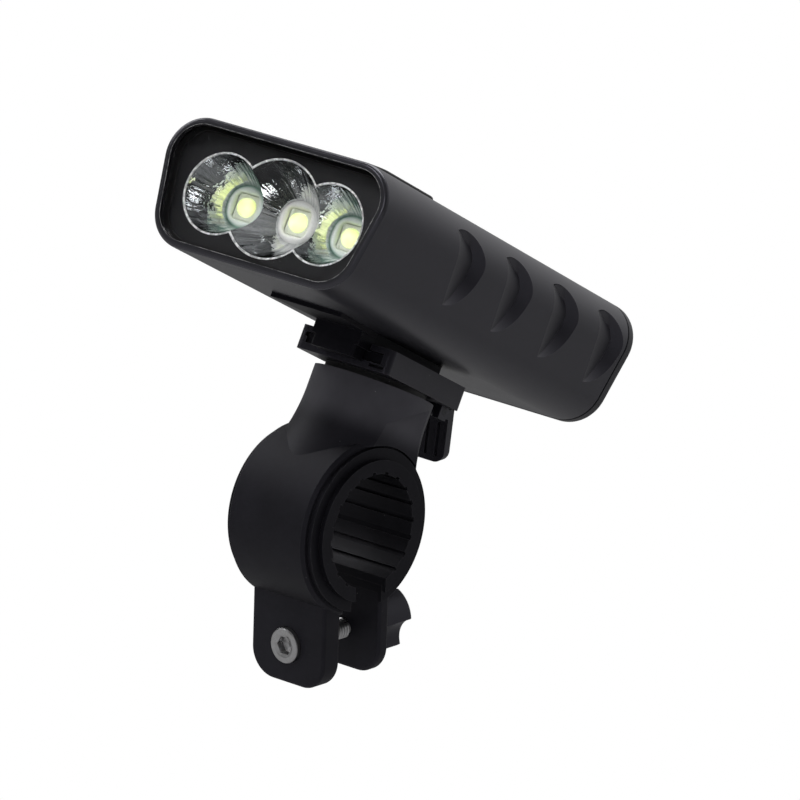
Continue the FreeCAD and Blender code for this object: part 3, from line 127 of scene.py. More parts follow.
def inMillimetres(tree):
    return vectorMaths(tree, "SCALE", placed(tree), scale=perMetre)


def newGroup(name, inputs, outputs):
    group = bpy.data.node_groups.new(name, "ShaderNodeTree")
    for label, kind, value in inputs:
        socket = group.interface.new_socket(name=label, in_out="INPUT",
            socket_type="NodeSocket" + kind)
        socket.default_value = value
    for label in outputs:
        group.interface.new_socket(name=label, in_out="OUTPUT", socket_type="NodeSocketFloat")
    return group, group.nodes.new("NodeGroupInput").outputs, group.nodes.new("NodeGroupOutput")


# fine moulded or blasted grain, with slow clouds of sheen over it

def makeGrain():
    group, source, sink = newGroup("surface grain",
        [("Grain per mm", "Float", 4.0), ("Cloud per mm", "Float", 0.08),
            ("Sharpness", "Float", 0.5)],
        ["Height", "Clouds", "Mottle"])
    millimetres = inMillimetres(group)
    fine = vectorMaths(group, "SCALE", millimetres, scale=source["Grain per mm"])
    pebbles = addNode(group, "TexVoronoi", {"Vector": fine, "Scale": 1.0, "Randomness": 1.0},
        feature="SMOOTH_F1")
    dust = noise(group, fine, scale=1.7, roughness=0.6)
    slow = vectorMaths(group, "SCALE", millimetres, scale=source["Cloud per mm"])
    height = timesPlus(group, pebbles.outputs["Distance"], source["Sharpness"], dust)
    feed(group, sink, "Height", height)
    feed(group, sink, "Clouds", noise(group, slow, scale=1.0, detail=3.0, roughness=0.55))
    feed(group, sink, "Mottle", noise(group, millimetres, scale=0.9, detail=4.0, roughness=0.65))
    return group


# edges rubbed bright or chalky: where the rounded normal leaves the flat one, broken up by noise;
# on the bezel the same mask carries a painted highlight line

def makeEdgeWearAndHighlight():
    group, source, sink = newGroup("rubbed and highlit edges",
        [("Radius", "Float", 0.0005), ("Reach", "Float", 0.3), ("Break up", "Float", 0.6)],
        ["Mask"])
    rounded = addNode(group, "Bevel", {"Radius": source["Radius"]}, samples=6).outputs["Normal"]
    flat = addNode(group, "NewGeometry").outputs["Normal"]
    away = minus(group, 1.0, vectorMaths(group, "DOT_PRODUCT", rounded, flat))
    patches = noise(group, placed(group), scale=700.0, detail=5.0, roughness=0.7)
    broken = ramp(group, patches, *wearPatches)
    kept = timesPlus(group, minus(group, broken, 1.0), source["Break up"], 1.0)
    mask = ramp(group, away, 0.0, source["Reach"])
    feed(group, sink, "Mask", maths(group, "MULTIPLY", mask, kept, clamp=True))
    return group


# sparse pale specks of dust and lint

def makeDust():
    group, source, sink = newGroup("dust specks",
        [("Specks per mm", "Float", 0.35), ("Size", "Float", 0.06), ("Amount", "Float", 0.5)],
        ["Mask"])
    millimetres = inMillimetres(group)
    spread = vectorMaths(group, "SCALE", millimetres, scale=source["Specks per mm"])
    cells = addNode(group, "TexVoronoi", {"Vector": spread, "Scale": 1.0, "Randomness": 1.0})
    speck = maths(group, "LESS_THAN", cells.outputs["Distance"], source["Size"])
    some = ramp(group, noise(group, millimetres, scale=0.12), *dustPatches)
    feed(group, sink, "Mask", times(group, times(group, speck, some), source["Amount"]))
    return group


# rings left by a lathe or a cutter round an axis

def makeTurning():
    group, source, sink = newGroup("turned rings",
        [("Centre", "Vector", (0, 0, 0)), ("Axis", "Vector", (0, 0, 1)),
            ("Rings per mm", "Float", 6.0)],
        ["Height", "Radius mm"])
    away = vectorMaths(group, "SUBTRACT", placed(group), source["Centre"])
    across = vectorMaths(group, "CROSS_PRODUCT", away, source["Axis"])
    radius = times(group, vectorMaths(group, "LENGTH", across), perMetre)
    wobble = noise(group, placed(group), scale=900.0)
    phase = timesPlus(group, wobble, ringWobble, times(group, radius, source["Rings per mm"]))
    rings = maths(group, "SINE", times(group, phase, fullTurn))
    feed(group, sink, "Height", timesPlus(group, rings, 0.5, 0.5))
    feed(group, sink, "Radius mm", radius)
    return group


grainGroup = makeGrain()
edgeGroup = makeEdgeWearAndHighlight()
dustGroup = makeDust()
turningGroup = makeTurning()
print("shader groups made")


def useGroup(tree, group, **values):
    node = tree.nodes.new("ShaderNodeGroup")
    node.node_tree = group
    for name, value in values.items():
        feed(tree, node, name.replace("_", " "), value)
    return node.outputs


def useGrain(tree, look):
    return useGroup(tree, grainGroup, Grain_per_mm=look["grain"], Cloud_per_mm=look["clouds"],
        Sharpness=look["sharpness"])


def newFinish(name, colour, roughness, **uniform):
    material = bpy.data.materials.new(name)
    material.use_nodes = True
    tree = material.node_tree
    shader = tree.nodes["Principled BSDF"]
    shader.inputs["Base Color"].default_value = (*colour, 1)
    shader.inputs["Roughness"].default_value = roughness
    for label, value in uniform.items():
        shader.inputs[label.replace("_", " ")].default_value = value
    return material, tree, shader


def paint(tree, shader, **sockets):
    for label, value in sockets.items():
        tree.links.new(value, shader.inputs[label.replace("_", " ")])


def setBump(tree, shader, height, strength, distance):
    bump = addNode(tree, "Bump", {"Height": height, "Strength": strength, "Distance": distance})
    paint(tree, shader, Normal=bump.outputs["Normal"])


def wornAndHighlitEdges(tree, wear):
    return useGroup(tree, edgeGroup, Radius=wear["radius"], Reach=wear["reach"],
        Break_up=wear["breakUp"])["Mask"]


# one builder for everything moulded, painted or blasted: colour, sheen, grain, worn edges, dust

coatedDefaults = {"grain": 4.0, "clouds": 0.08, "sharpness": 0.5, "cloudTone": 0.1,
    "mottleTone": 0.08, "sheenShift": 0.12, "bump": 0.2, "depth": 0.00003}
wearDefaults = {"radius": 0.0004, "reach": 0.25, "breakUp": 0.6, "roughShift": 0.1}
dustDefaults = {"perMm": 0.35, "size": 0.05, "colour": (0.35, 0.35, 0.34)}
violetSheen = (0.86, 0.84, 1.0, 1.0)


def coatedFinish(name, given):
    look = {**coatedDefaults, **given}
    uniform = {"Specular_IOR_Level": look["specular"]} if "specular" in look else {}
    if look.get("violet"):
        uniform["Specular_Tint"] = violetSheen
    material, tree, shader = newFinish(name, look["colour"], look["roughness"], **uniform)
    grain = useGrain(tree, look)
    tone = ramp(tree, grain["Clouds"], *noiseSpan, 1 - look["cloudTone"], 1 + look["cloudTone"])
    spotted = ramp(tree, grain["Mottle"], *noiseSpan, 1 - look["mottleTone"],
        1 + look["mottleTone"])
    colour = vectorMaths(tree, "SCALE", look["colour"], scale=times(tree, tone, spotted))
    # painted light: higher up, on the clamp's neck, the colour turns paler in clouds, standing in
    # for light falling there
    if "paintedTopLight" in look:
        paintedTopLight = look["paintedTopLight"]
        upward = addNode(tree, "SeparateXYZ", {"Vector": placed(tree)}).outputs["Z"]
        high = ramp(tree, upward, paintedTopLight["from"], paintedTopLight["to"])
        amount = times(tree, high, ramp(tree, grain["Clouds"], *noiseSpan, paintedTopLight["least"], 1.0))
        colour = mixColour(tree, amount, colour, paintedTopLight["colour"])
    roughness = timesPlus(tree, minus(tree, grain["Clouds"], 0.5), look["sheenShift"],
        look["roughness"])
    if "wear" in look:
        wear = {**wearDefaults, **look["wear"]}
        amount = times(tree, wornAndHighlitEdges(tree, wear), wear["amount"])
        colour = mixColour(tree, amount, colour, wear["colour"])
        roughness = timesPlus(tree, amount, wear["roughShift"], roughness)
    if "dust" in look:
        dust = {**dustDefaults, **look["dust"]}
        specks = useGroup(tree, dustGroup, Specks_per_mm=dust["perMm"], Size=dust["size"],
            Amount=dust["amount"])
        colour = mixColour(tree, specks["Mask"], colour, dust["colour"])
    paint(tree, shader, Base_Color=colour, Roughness=roughness)
    setBump(tree, shader, grain["Height"], look["bump"], look["depth"])
    return material


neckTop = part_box("clamp_body")[1].z
coatedLooks = {
    "housing": {"colour": (0.0087, 0.0084, 0.0108), "roughness": 0.4, "specular": 0.47,
        "violet": True, "grain": 6.0, "clouds": 0.05, "bump": 0.16, "depth": 0.00002,
        "cloudTone": 0.12,
        "wear": {"radius": 0.0005, "reach": 0.22, "amount": 0.25, "colour": (0.06, 0.06, 0.07)},
        "dust": {"amount": 0.3, "perMm": 0.22, "size": 0.035}},
    "mask": {"colour": (0.0075, 0.0075, 0.009), "roughness": 0.42, "specular": 0.25, "grain": 5.0,
        "bump": 0.1, "sheenShift": 0.08},
    "rubber": {"colour": (0.012, 0.012, 0.013), "roughness": 0.62, "specular": 0.3, "grain": 3.0,
        "clouds": 0.15, "bump": 0.25, "cloudTone": 0.18,
        "wear": {"reach": 0.35, "amount": 0.3, "breakUp": 0.5, "colour": (0.07, 0.07, 0.07)},
        "dust": {"amount": 0.35, "perMm": 0.6}},
    "pad": {"colour": (0.012, 0.012, 0.0135), "roughness": 0.6, "specular": 0.35, "grain": 5.0,
        "bump": 0.3,
        "wear": {"radius": 0.0003, "reach": 0.3, "amount": 0.25, "colour": (0.07, 0.07, 0.07)}},
    "button": {"colour": (0.03, 0.03, 0.033), "roughness": 0.5, "specular": 0.4, "bump": 0.15,
        "wear": {"reach": 0.3, "amount": 0.35, "colour": (0.1, 0.1, 0.1)}},
    "clamp": {"colour": (0.0066, 0.0064, 0.0084), "roughness": 0.56, "specular": 0.17,
        "violet": True, "grain": 2.6, "clouds": 0.07, "bump": 0.22, "depth": 0.00004,
        "cloudTone": 0.2,
        "paintedTopLight": {"from": neckTop - 0.011, "to": neckTop - 0.006, "least": 0.7,
            "colour": (0.042, 0.041, 0.047)},
        "wear": {"radius": 0.0005, "amount": 0.3, "colour": (0.04, 0.04, 0.045)},
        "dust": {"amount": 0.22, "perMm": 0.4, "size": 0.04}},
    "bracket": {"colour": (0.0075, 0.0072, 0.0098), "roughness": 0.38, "specular": 0.34,
        "violet": True, "grain": 3.4, "clouds": 0.1, "bump": 0.16,
        "wear": {"radius": 0.0003, "amount": 0.35, "colour": (0.07, 0.07, 0.08)},
        "dust": {"amount": 0.3, "perMm": 0.45, "size": 0.04}},
    # painted shade: the shoe is coloured darker than the bracket, standing in for the shade between
    # case and bracket
    "paintedShadeShoe": {"colour": (0.0034, 0.0033, 0.0046), "roughness": 0.5, "specular": 0.13, "violet": True,
        "grain": 3.4, "clouds": 0.1, "bump": 0.18,
        "wear": {"radius": 0.0003, "amount": 0.3, "colour": (0.05, 0.05, 0.055)}},
    "liner": {"colour": (0.0038, 0.0037, 0.005), "roughness": 0.5, "specular": 0.14, "violet": True,
        "grain": 3.6, "clouds": 0.14, "bump": 0.22, "cloudTone": 0.2,
        "wear": {"radius": 0.0003, "reach": 0.3, "amount": 0.3, "colour": (0.06, 0.06, 0.065)},
        "dust": {"amount": 0.25, "perMm": 0.5, "size": 0.04}},
    "knob": {"colour": (0.0095, 0.0092, 0.0125), "roughness": 0.42, "specular": 0.34,
        "violet": True, "grain": 3.0, "wear": {"amount": 0.35, "colour": (0.06, 0.06, 0.065)}},
    "tail": {"colour": (0.014, 0.0138, 0.0175), "roughness": 0.46, "specular": 0.34, "grain": 3.0,
        "bump": 0.3, "depth": 0.00004,
        "wear": {"radius": 0.0005, "amount": 0.3, "colour": (0.08, 0.08, 0.09)}},
    "cradle": {"colour": (0.02, 0.02, 0.02), "roughness": 0.55, "grain": 2.0},
    "tongue": {"colour": (0.55, 0.55, 0.53), "roughness": 0.4, "bump": 0.05, "mottleTone": 0.03,
        "cloudTone": 0.03},
    "cellWrap": {"colour": (0.03, 0.11, 0.28), "roughness": 0.28, "grain": 1.2, "bump": 0.12,
        "depth": 0.00005, "mottleTone": 0.05},
}
finishes = {name: coatedFinish(name + " finish", look) for name, look in coatedLooks.items()}
print("moulded and painted finishes made")


# bezel: satin like the case outside, glossy at the front with painted light on the rim, near black
# inside from painted shade on the walls, and between them a bright line of edge nicks and painted
# highlight

bezelLook = {"caseTone": (0.0087, 0.0084, 0.0108), "paintedRimLight": (0.016, 0.016, 0.018),
    "paintedWallShade": (0.005, 0.005, 0.006), "nicksAndHighlightTone": (0.6, 0.6, 0.6), "nicksAndHighlightShare": 0.8,
    "specular": 0.47, "rimDepth": 0.9, "rimBlend": 0.25, "roughCase": 0.4, "roughRim": 0.24,
    "sheenShift": 0.14, "outline": (1.0, 0.0, 3.0), "inward": (-0.05, -0.3), "grain": 5.0,
    "clouds": 0.12, "sharpness": 0.4, "bump": 0.1, "depth": 0.00002, "radius": 0.00022,
    "reach": 0.22, "breakUp": 0.85}


def bezelFinish(look):
    low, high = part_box("front_bezel")
    middle = (low + high) / 2
    material, tree, shader = newFinish("bezel finish", look["caseTone"], look["roughCase"],
        Specular_IOR_Level=look["specular"], Specular_Tint=violetSheen)
    grain = useGrain(tree, look)
    away = vectorMaths(tree, "SUBTRACT", placed(tree), (middle.x, low.y, middle.z))
    depth = times(tree, addNode(tree, "SeparateXYZ", {"Vector": away}).outputs["Y"], perMetre)
    outward = vectorMaths(tree, "NORMALIZE", vectorMaths(tree, "MULTIPLY", away, look["outline"]))
    normal = addNode(tree, "NewGeometry").outputs["Normal"]
    inside = ramp(tree, vectorMaths(tree, "DOT_PRODUCT", outward, normal), *look["inward"])
    # painted light: the front rim gets a lighter tone than the case
    rim = ramp(tree, depth, look["rimDepth"], look["rimDepth"] - look["rimBlend"])
    colour = mixColour(tree, rim, look["caseTone"], look["paintedRimLight"])
    # edge nicks and a painted highlight: a bright line along the rim's edges
    line = times(tree, times(tree, wornAndHighlitEdges(tree, look), rim), look["nicksAndHighlightShare"])
    colour = mixColour(tree, line, colour, look["nicksAndHighlightTone"])
    rough = ramp(tree, rim, 0.0, 1.0, look["roughCase"], look["roughRim"])
    rough = timesPlus(tree, minus(tree, grain["Clouds"], 0.5), look["sheenShift"], rough)
    # painted shade: the inward-facing walls are darkened to near black
    colour = mixColour(tree, inside, colour, look["paintedWallShade"])
    paint(tree, shader, Base_Color=colour, Roughness=rough)
    setBump(tree, shader, grain["Height"], look["bump"], look["depth"])
    return material


finishes["bezel"] = bezelFinish(bezelLook)


# bare and plated metal: turned rings where an axis is given, grain and faint stains

metalDefaults = {"grain": 5.0, "clouds": 0.2, "sharpness": 0.2, "rings": 7.0, "ringShare": 1.2,
    "stain": 0.3, "stainColour": (0.32, 0.31, 0.3), "stainSpan": (0.35, 0.7), "smoothest": -0.06,
    "roughest": 0.08, "bump": 0.12, "depth": 0.00002}


def metalFinish(name, given):
    look = {**metalDefaults, **given}
    material, tree, shader = newFinish(name, look["colour"], look["roughness"], Metallic=1.0)
    grain = useGrain(tree, look)
    height = grain["Height"]
    if "axis" in look:
        turned = useGroup(tree, turningGroup, Centre=look["centre"], Axis=look["axis"],
            Rings_per_mm=look["rings"])
        height = timesPlus(tree, turned["Height"], look["ringShare"], height)
    stain = times(tree, ramp(tree, grain["Mottle"], *look["stainSpan"]), look["stain"])
    spread = (look["roughness"] + look["smoothest"], look["roughness"] + look["roughest"])
    paint(tree, shader, Base_Color=mixColour(tree, stain, look["colour"], look["stainColour"]),
        Roughness=ramp(tree, grain["Clouds"], *noiseSpan, *spread))
    setBump(tree, shader, height, look["bump"], look["depth"])
    return material


boltAxis = Vector((0.154722, 0.87747, 0.45399))
boltMiddle = Vector((0.001837, 0.010417, -0.02076))
metalLooks = {
    "steel": {"colour": (0.56, 0.56, 0.57), "roughness": 0.28, "bump": 0.1},
    "bolt": {"colour": (0.42, 0.42, 0.43), "roughness": 0.3, "centre": boltMiddle, "axis": boltAxis,
        "rings": 5.0, "bump": 0.16, "stain": 0.5},
    "nickel": {"colour": (0.66, 0.63, 0.58), "roughness": 0.22},
    "blackened": {"colour": (0.05, 0.05, 0.055), "roughness": 0.42,
        "stainColour": (0.03, 0.03, 0.03)},
    "alloy": {"colour": (0.72, 0.73, 0.74), "roughness": 0.36, "grain": 3.0, "bump": 0.2},
    "brass": {"colour": (0.78, 0.57, 0.25), "roughness": 0.3, "centre": boltMiddle,
        "axis": boltAxis, "rings": 3.0, "stainColour": (0.4, 0.26, 0.1)},
}
for name, look in metalLooks.items():
    finishes[name] = metalFinish(name + " finish", look)


# the cups stand side by side: centre one in the middle, the outer two a pitch away

cupLook = {"pitch": 0.0117, "border": 0.0071}


def cupSpoke(tree, height):
    # the way from the axis of the nearest cup, the depth, and 1 in the outer two
    split = addNode(tree, "SeparateXYZ", {"Vector": placed(tree)})
    across, along, upward = (split.outputs[axis] for axis in "XYZ")
    outer = maths(tree, "GREATER_THAN", maths(tree, "ABSOLUTE", across), cupLook["border"])
    shift = times(tree, times(tree, maths(tree, "SIGN", across), outer), cupLook["pitch"])
    inputs = {"X": minus(tree, across, shift), "Y": 0.0, "Z": minus(tree, upward, height)}
    return addNode(tree, "CombineXYZ", inputs).outputs["Vector"], along, outer


# vacuum chrome: streaks down from each rim, slow waves, a duller pale lip at the front

chromeLook = {"colour": (0.8, 0.81, 0.82), "dullColour": (0.62, 0.63, 0.64),
    "dullSpan": (0.35, 0.65), "roughness": 0.05, "streaks": 9.0, "fineStreaks": 30.0,
    "fineShare": 0.07, "twist": 8.0, "streakDepth": 0.00026, "streakStrength": 0.5,
    "waveDepth": 0.00045, "waveStrength": 0.35, "hazeSpan": (0.5, 0.75), "haze": (0.004, 0.03),
    "grain": 0.9, "clouds": 0.3, "sharpness": 0.1, "lipDepth": 0.3, "lipFull": 0.4,
    "lipColour": (0.92, 0.92, 0.93), "lipShare": 0.75, "lipRough": 0.3, "patchSpan": (0.35, 0.6),
    "patchLeast": 0.55}


def chromeFinish(look, height):
    material, tree, shader = newFinish("vacuum chrome", look["colour"], look["roughness"],
        Metallic=1.0)
    spoke, along, outer = cupSpoke(tree, height)
    heading = vectorMaths(tree, "NORMALIZE", spoke)
    slide = {"X": 0.0, "Y": times(tree, along, look["twist"]), "Z": 0.0}
    twist = addNode(tree, "CombineXYZ", slide).outputs["Vector"]
    turned = vectorMaths(tree, "ADD", heading, twist)
    coarse = noise(tree, turned, look["streaks"], detail=1.0, roughness=0.4)
    fine = noise(tree, turned, look["fineStreaks"], detail=2.0, roughness=0.6)
    streaks = timesPlus(tree, fine, look["fineShare"], coarse)
    grain = useGrain(tree, look)
    depth = times(tree, minus(tree, along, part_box("reflector_cluster")[0].y), perMetre)
    patchy = ramp(tree, grain["Mottle"], *look["patchSpan"], look["patchLeast"], 1.0)
    front = ramp(tree, depth, look["lipDepth"], look["lipFull"] * look["lipDepth"])
    lip = times(tree, front, patchy)
    haze = ramp(tree, grain["Mottle"], *look["hazeSpan"], *look["haze"])
    plated = mixColour(tree, ramp(tree, coarse, *look["dullSpan"]), look["dullColour"],
        look["colour"])
    radial = addNode(tree, "Bump",
        {"Height": streaks, "Strength": look["streakStrength"], "Distance": look["streakDepth"]})
    waves = addNode(tree, "Bump", {"Height": grain["Clouds"], "Strength": look["waveStrength"],
        "Distance": look["waveDepth"], "Normal": radial.outputs["Normal"]})
    paint(tree, shader, Base_Color=mixColour(tree, lip, plated, look["lipColour"]),
        Roughness=timesPlus(tree, lip, look["lipRough"], haze),
        Metallic=timesPlus(tree, lip, -look["lipShare"], 1.0), Normal=waves.outputs["Normal"])
    return material


# clear pieces let nearly all the light through to what is behind them

shadowShare = 0.92


def clearShadow(tree, shader):
    shadow = addNode(tree, "LightPath").outputs["Is Shadow Ray"]
    paint(tree, shader, Alpha=timesPlus(tree, shadow, -shadowShare, 1.0))


windowLook = {"colour": (0.985, 0.99, 0.99), "index": 1.49, "grain": 1.0, "clouds": 0.15,
    "sharpness": 0.1, "smearSpan": (0.55, 0.8), "smear": 0.012, "bump": 0.01, "depth": 0.0001}


def windowFinish(look):
    material, tree, shader = newFinish("clear window", look["colour"], 0.0,
        Transmission_Weight=1.0, IOR=look["index"])
    grain = useGrain(tree, look)
    smear = ramp(tree, grain["Clouds"], *look["smearSpan"], 0.0, look["smear"])
    paint(tree, shader, Roughness=smear)
    clearShadow(tree, shader)
    setBump(tree, shader, grain["Clouds"], look["bump"], look["depth"])
    return material


boardLook = {"roughness": 0.3, "mortar": 0.06, "blur": 0.3, "width": 1.6, "row": 0.7,
    "offset": 0.37, "squash": 1.4, "share": 0.7, "polish": (0.26, 0.36), "bump": 0.3,
    "depth": 0.00003}


def boardFinish(name, mask, trace, perMm, look=boardLook):
    material, tree, shader = newFinish(name, mask, look["roughness"])
    tracks = addNode(tree, "TexBrick", {"Vector": inMillimetres(tree), "Scale": perMm, "Bias": 0.0,
        "Mortar Size": look["mortar"], "Mortar Smooth": look["blur"], "Brick Width": look["width"],
        "Row Height": look["row"]}, offset=look["offset"], squash=look["squash"],
        squash_frequency=3)
    copper = times(tree, tracks.outputs["Fac"], look["share"])
    paint(tree, shader, Base_Color=mixColour(tree, copper, mask, trace),
        Roughness=ramp(tree, copper, 0.0, 1.0, *look["polish"]))
    setBump(tree, shader, tracks.outputs["Fac"], look["bump"], look["depth"])
    return material


# pale or tinted pieces whose colour drifts between two tones

def driftingFinish(name, look, drift, **uniform):
    material, tree, shader = newFinish(name, look["colour"], look["roughness"], **uniform)
    grain = useGrain(tree, look)
    paint(tree, shader, Base_Color=mixColour(tree, grain[drift], look["dark"], look["light"]))
    setBump(tree, shader, grain["Height"], look["bump"], look["depth"])
    return material


smokedLook = {"colour": (0.25, 0.4, 0.3), "dark": (0.12, 0.2, 0.15), "light": (0.4, 0.55, 0.44),
    "clear": 0.35, "index": 1.46, "roughness": 0.25, "grain": 3.0, "clouds": 0.5, "sharpness": 0.3,
    "bump": 0.1, "depth": 0.00002}

cupHeight = sum(corner.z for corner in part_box("led_centre")) / 2
finishes["chrome"] = chromeFinish(chromeLook, cupHeight)
finishes["window"] = windowFinish(windowLook)
finishes["greenBoard"] = boardFinish("green circuit board", (0.012, 0.1, 0.035),
    (0.05, 0.22, 0.07), 0.7)
finishes["whiteBoard"] = boardFinish("white circuit board", (0.68, 0.7, 0.68),
    (0.55, 0.6, 0.56), 0.5)
finishes["smoked"] = driftingFinish("smoked light windows", smokedLook, "Mottle",
    Transmission_Weight=smokedLook["clear"], IOR=smokedLook["index"])
print("metal, glass and board finishes made")

wornBy = {
    "housing": ["main_housing"], "bezel": ["front_bezel"], "window": ["front_lens"],
    "mask": ["reflector_mask"],
    "rubber": ["lens_gasket", "tail_gasket", "port_cover", "swivel_washer"],
    "chrome": ["reflector_cluster"], "whiteBoard": ["led_board"],
    "tongue": ["led_collars", "led_left", "led_centre", "led_right", "usb_a_tongue"],
    "alloy": ["heat_sink"], "greenBoard": ["driver_board", "switch_board", "charge_board"],
    "cellWrap": ["battery_cell_left", "battery_cell_right"],
    "nickel": ["cell_tab_front", "cell_tab_rear", "usb_a_port", "micro_usb_port"],
    "cradle": ["battery_cradle", "tact_switch"], "button": ["power_button"], "pad": ["button_pad"],
    "smoked": ["indicator_windows"], "tail": ["tail_cap"], "paintedShadeShoe": ["mount_shoe"],
    "steel": ["board_screws", "tail_screws", "cover_pin", "shoe_screws", "latch_spring",
        "swivel_screw", "swivel_nut", "knob_washer"],
    "bracket": ["bracket_base", "release_lever"],
    "blackened": ["lever_pin"], "clamp": ["clamp_body"], "liner": ["outer_liner", "inner_liner"],
    "bolt": ["clamp_bolt"], "knob": ["thumb_knob"], "brass": ["knob_insert"],
}
for finish, wearers in wornBy.items():
    for node in wearers:
        if not nodes[node].material_slots:
            nodes[node].data.materials.append(finishes[finish])
        for slot in nodes[node].material_slots:
            slot.material = finishes[finish]
print("finishes on the CAD nodes")


def newPiece(name, mesh, material, body, smooth=True):
    data = bpy.data.meshes.new(name)
    mesh.to_mesh(data)
    mesh.free()
    data.materials.append(material)
    for face in data.polygons:
        face.use_smooth = smooth
    piece = bpy.data.objects.new(name, data)
    bpy.context.scene.collection.objects.link(piece)
    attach(piece, body)
    return piece


def bridge(mesh, inside, outside):
    # a band of faces between two closed loops
    for step, corner in enumerate(inside):
        after = (step + 1) % len(inside)
        mesh.faces.new((corner, outside[step], outside[after], inside[after]))


# light-emitting packages: pale base with corner pads, phosphor with a painted glow, clear silicone
# dome

packageLook = {"side": 0.0049, "base": 0.00044, "round": 0.0001, "corner": 0.00195, "pad": 0.00042,
    "padLift": 0.00004, "padHalf": 0.00012, "padRound": 0.00005, "cap": 0.00176,
    "capHeight": 0.00125, "capLift": 0.00002, "dome": 0.00192, "domeLift": 0.00001, "capSteps": 12,
    "domeSteps": 16}
ceramicLook = {"colour": (0.5, 0.52, 0.47), "dark": (0.6, 0.64, 0.58), "light": (0.82, 0.84, 0.78),
    "roughness": 0.42, "grain": 8.0, "clouds": 0.8, "sharpness": 0.3, "bump": 0.1, "depth": 0.00001}
phosphorLook = {"colour": (0.8, 0.88, 0.3), "dark": (0.84, 0.93, 0.32), "light": (0.95, 0.98, 0.62),
    "roughness": 0.5, "paintedGlow": 1.0, "grain": 14.0, "clouds": 0.5, "sharpness": 0.4, "bump": 0.2,
    "depth": 0.00001}
domeLook = {"colour": (0.93, 0.97, 0.86), "roughness": 0.05, "clear": 0.6, "index": 1.41,
    "grain": 2.0, "clouds": 1.0, "sharpness": 0.2, "hazeSpan": (0.4, 0.8), "haze": (0.03, 0.12)}


def phosphorFinish(look):
    # painted glow: the phosphor is given its own emission to look bright
    material, tree, shader = newFinish("phosphor cap", look["colour"], look["roughness"],
        Emission_Strength=look["paintedGlow"])
    grain = useGrain(tree, look)
    colour = mixColour(tree, ramp(tree, grain["Clouds"], *noiseSpan), look["dark"], look["light"])
    paint(tree, shader, Base_Color=colour, Emission_Color=colour)
    setBump(tree, shader, grain["Height"], look["bump"], look["depth"])
    return material


def domeFinish(look):
    material, tree, shader = newFinish("silicone dome", look["colour"], look["roughness"],
        Transmission_Weight=look["clear"], IOR=look["index"])
    grain = useGrain(tree, look)
    paint(tree, shader, Roughness=ramp(tree, grain["Clouds"], *look["hazeSpan"], *look["haze"]))
    clearShadow(tree, shader)
    return material


ceramic = driftingFinish("ceramic base", ceramicLook, "Clouds")
phosphor = phosphorFinish(phosphorLook)
dome = domeFinish(domeLook)


def slab(mesh, centre, half, bevel, segments=3):
    place = Matrix.LocRotScale(centre, None, Vector(half))
    made = bmesh.ops.create_cube(mesh, size=2.0, matrix=place)
    edges = list({edge for vert in made["verts"] for edge in vert.link_edges})
    bmesh.ops.bevel(mesh, geom=edges, offset=bevel, segments=segments, profile=0.6, affect="EDGES")


def turnedShell(mesh, profile, centre, steps=48):
    # a closed solid turned round Y from (radius, y) points, the first and last on the axis
    angles = [fullTurn * step / steps for step in range(steps)]
    rings = []
    for radius, along in profile[1:-1]:
        rings.append([mesh.verts.new((centre.x + radius * math.cos(angle), along,
            centre.z + radius * math.sin(angle))) for angle in angles])
    ends = [mesh.verts.new((centre.x, profile[index][1], centre.z)) for index in (0, -1)]
    for step in range(steps):
        after = (step + 1) % steps
        mesh.faces.new((ends[0], rings[0][step], rings[0][after]))
        mesh.faces.new((ends[1], rings[-1][after], rings[-1][step]))
    for inner, outer in zip(rings, rings[1:]):
        bridge(mesh, inner, outer)
    bmesh.ops.recalc_face_normals(mesh, faces=mesh.faces[:])


def capProfile(radius, height, foot, steps):
    angles = [math.pi / 2 * step / steps for step in range(steps)]
    curve = [(radius * math.cos(angle), foot - height * math.sin(angle)) for angle in angles]
    return [(0.0, foot), *curve, (0.0, foot - height)]


def buildPackage(node, look):
    low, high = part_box(node)
    centre = (low + high) / 2
    face = high.y - look["base"]
    mesh = bmesh.new()
    half = (look["side"] / 2, look["base"] / 2, look["side"] / 2)
    slab(mesh, Vector((centre.x, high.y - look["base"] / 2, centre.z)), half, look["round"])
    for across in (-look["corner"], look["corner"]):
        for upward in (-look["corner"], look["corner"]):
            spot = Vector((centre.x + across, face - look["padLift"], centre.z + upward))
            block = (look["pad"] / 2, look["padHalf"], look["pad"] / 2)
            slab(mesh, spot, block, look["padRound"], 2)
    base = newPiece(node + "_base", mesh, ceramic, "lamp", smooth=False)
    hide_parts(node)
    mesh = bmesh.new()
    cap = capProfile(look["cap"], look["capHeight"], face + look["capLift"], look["capSteps"])
    turnedShell(mesh, cap, centre)
    newPiece(node + "_phosphor", mesh, phosphor, "lamp")
    mesh = bmesh.new()
    bulge = capProfile(look["dome"], look["dome"], face + look["domeLift"], look["domeSteps"])
    turnedShell(mesh, bulge, centre)
    newPiece(node + "_dome", mesh, dome, "lamp")


emitters = ("led_left", "led_centre", "led_right")
for node in emitters:
    buildPackage(node, packageLook)
print("light-emitting packages built")


# soft round collars with a square opening and painted shade towards the outer edge; the outer two
# carry a painted green reflection of the board

collarLook = {"opening": 0.0026, "corner": 0.0005, "radius": 0.00445, "steps": 96,
    "lift": (0.0, 0.00095, 0.0014, 0.00155, 0.0014, 0.0011, 0.0009, 0.0009, 0.0),
    "shares": (0.0, 0.0, 0.1, 0.3, 0.52, 0.7, 0.85, 1.0, 1.0), "colour": (0.55, 0.56, 0.53),
    "roughness": 0.34, "edge": (3.3, 4.3), "grain": 5.0, "clouds": 0.4, "sharpness": 0.3,
    "plain": (0.92, 0.92, 0.9), "paintedPlainShade": (0.6, 0.6, 0.58), "green": (0.78, 0.85, 0.8),
    "paintedGreenShade": (0.04, 0.2, 0.12), "cloudShare": 0.2, "cloud": (0.3, 0.32, 0.3),
    "polish": (0.25, 0.42), "bump": 0.12, "depth": 0.00002}


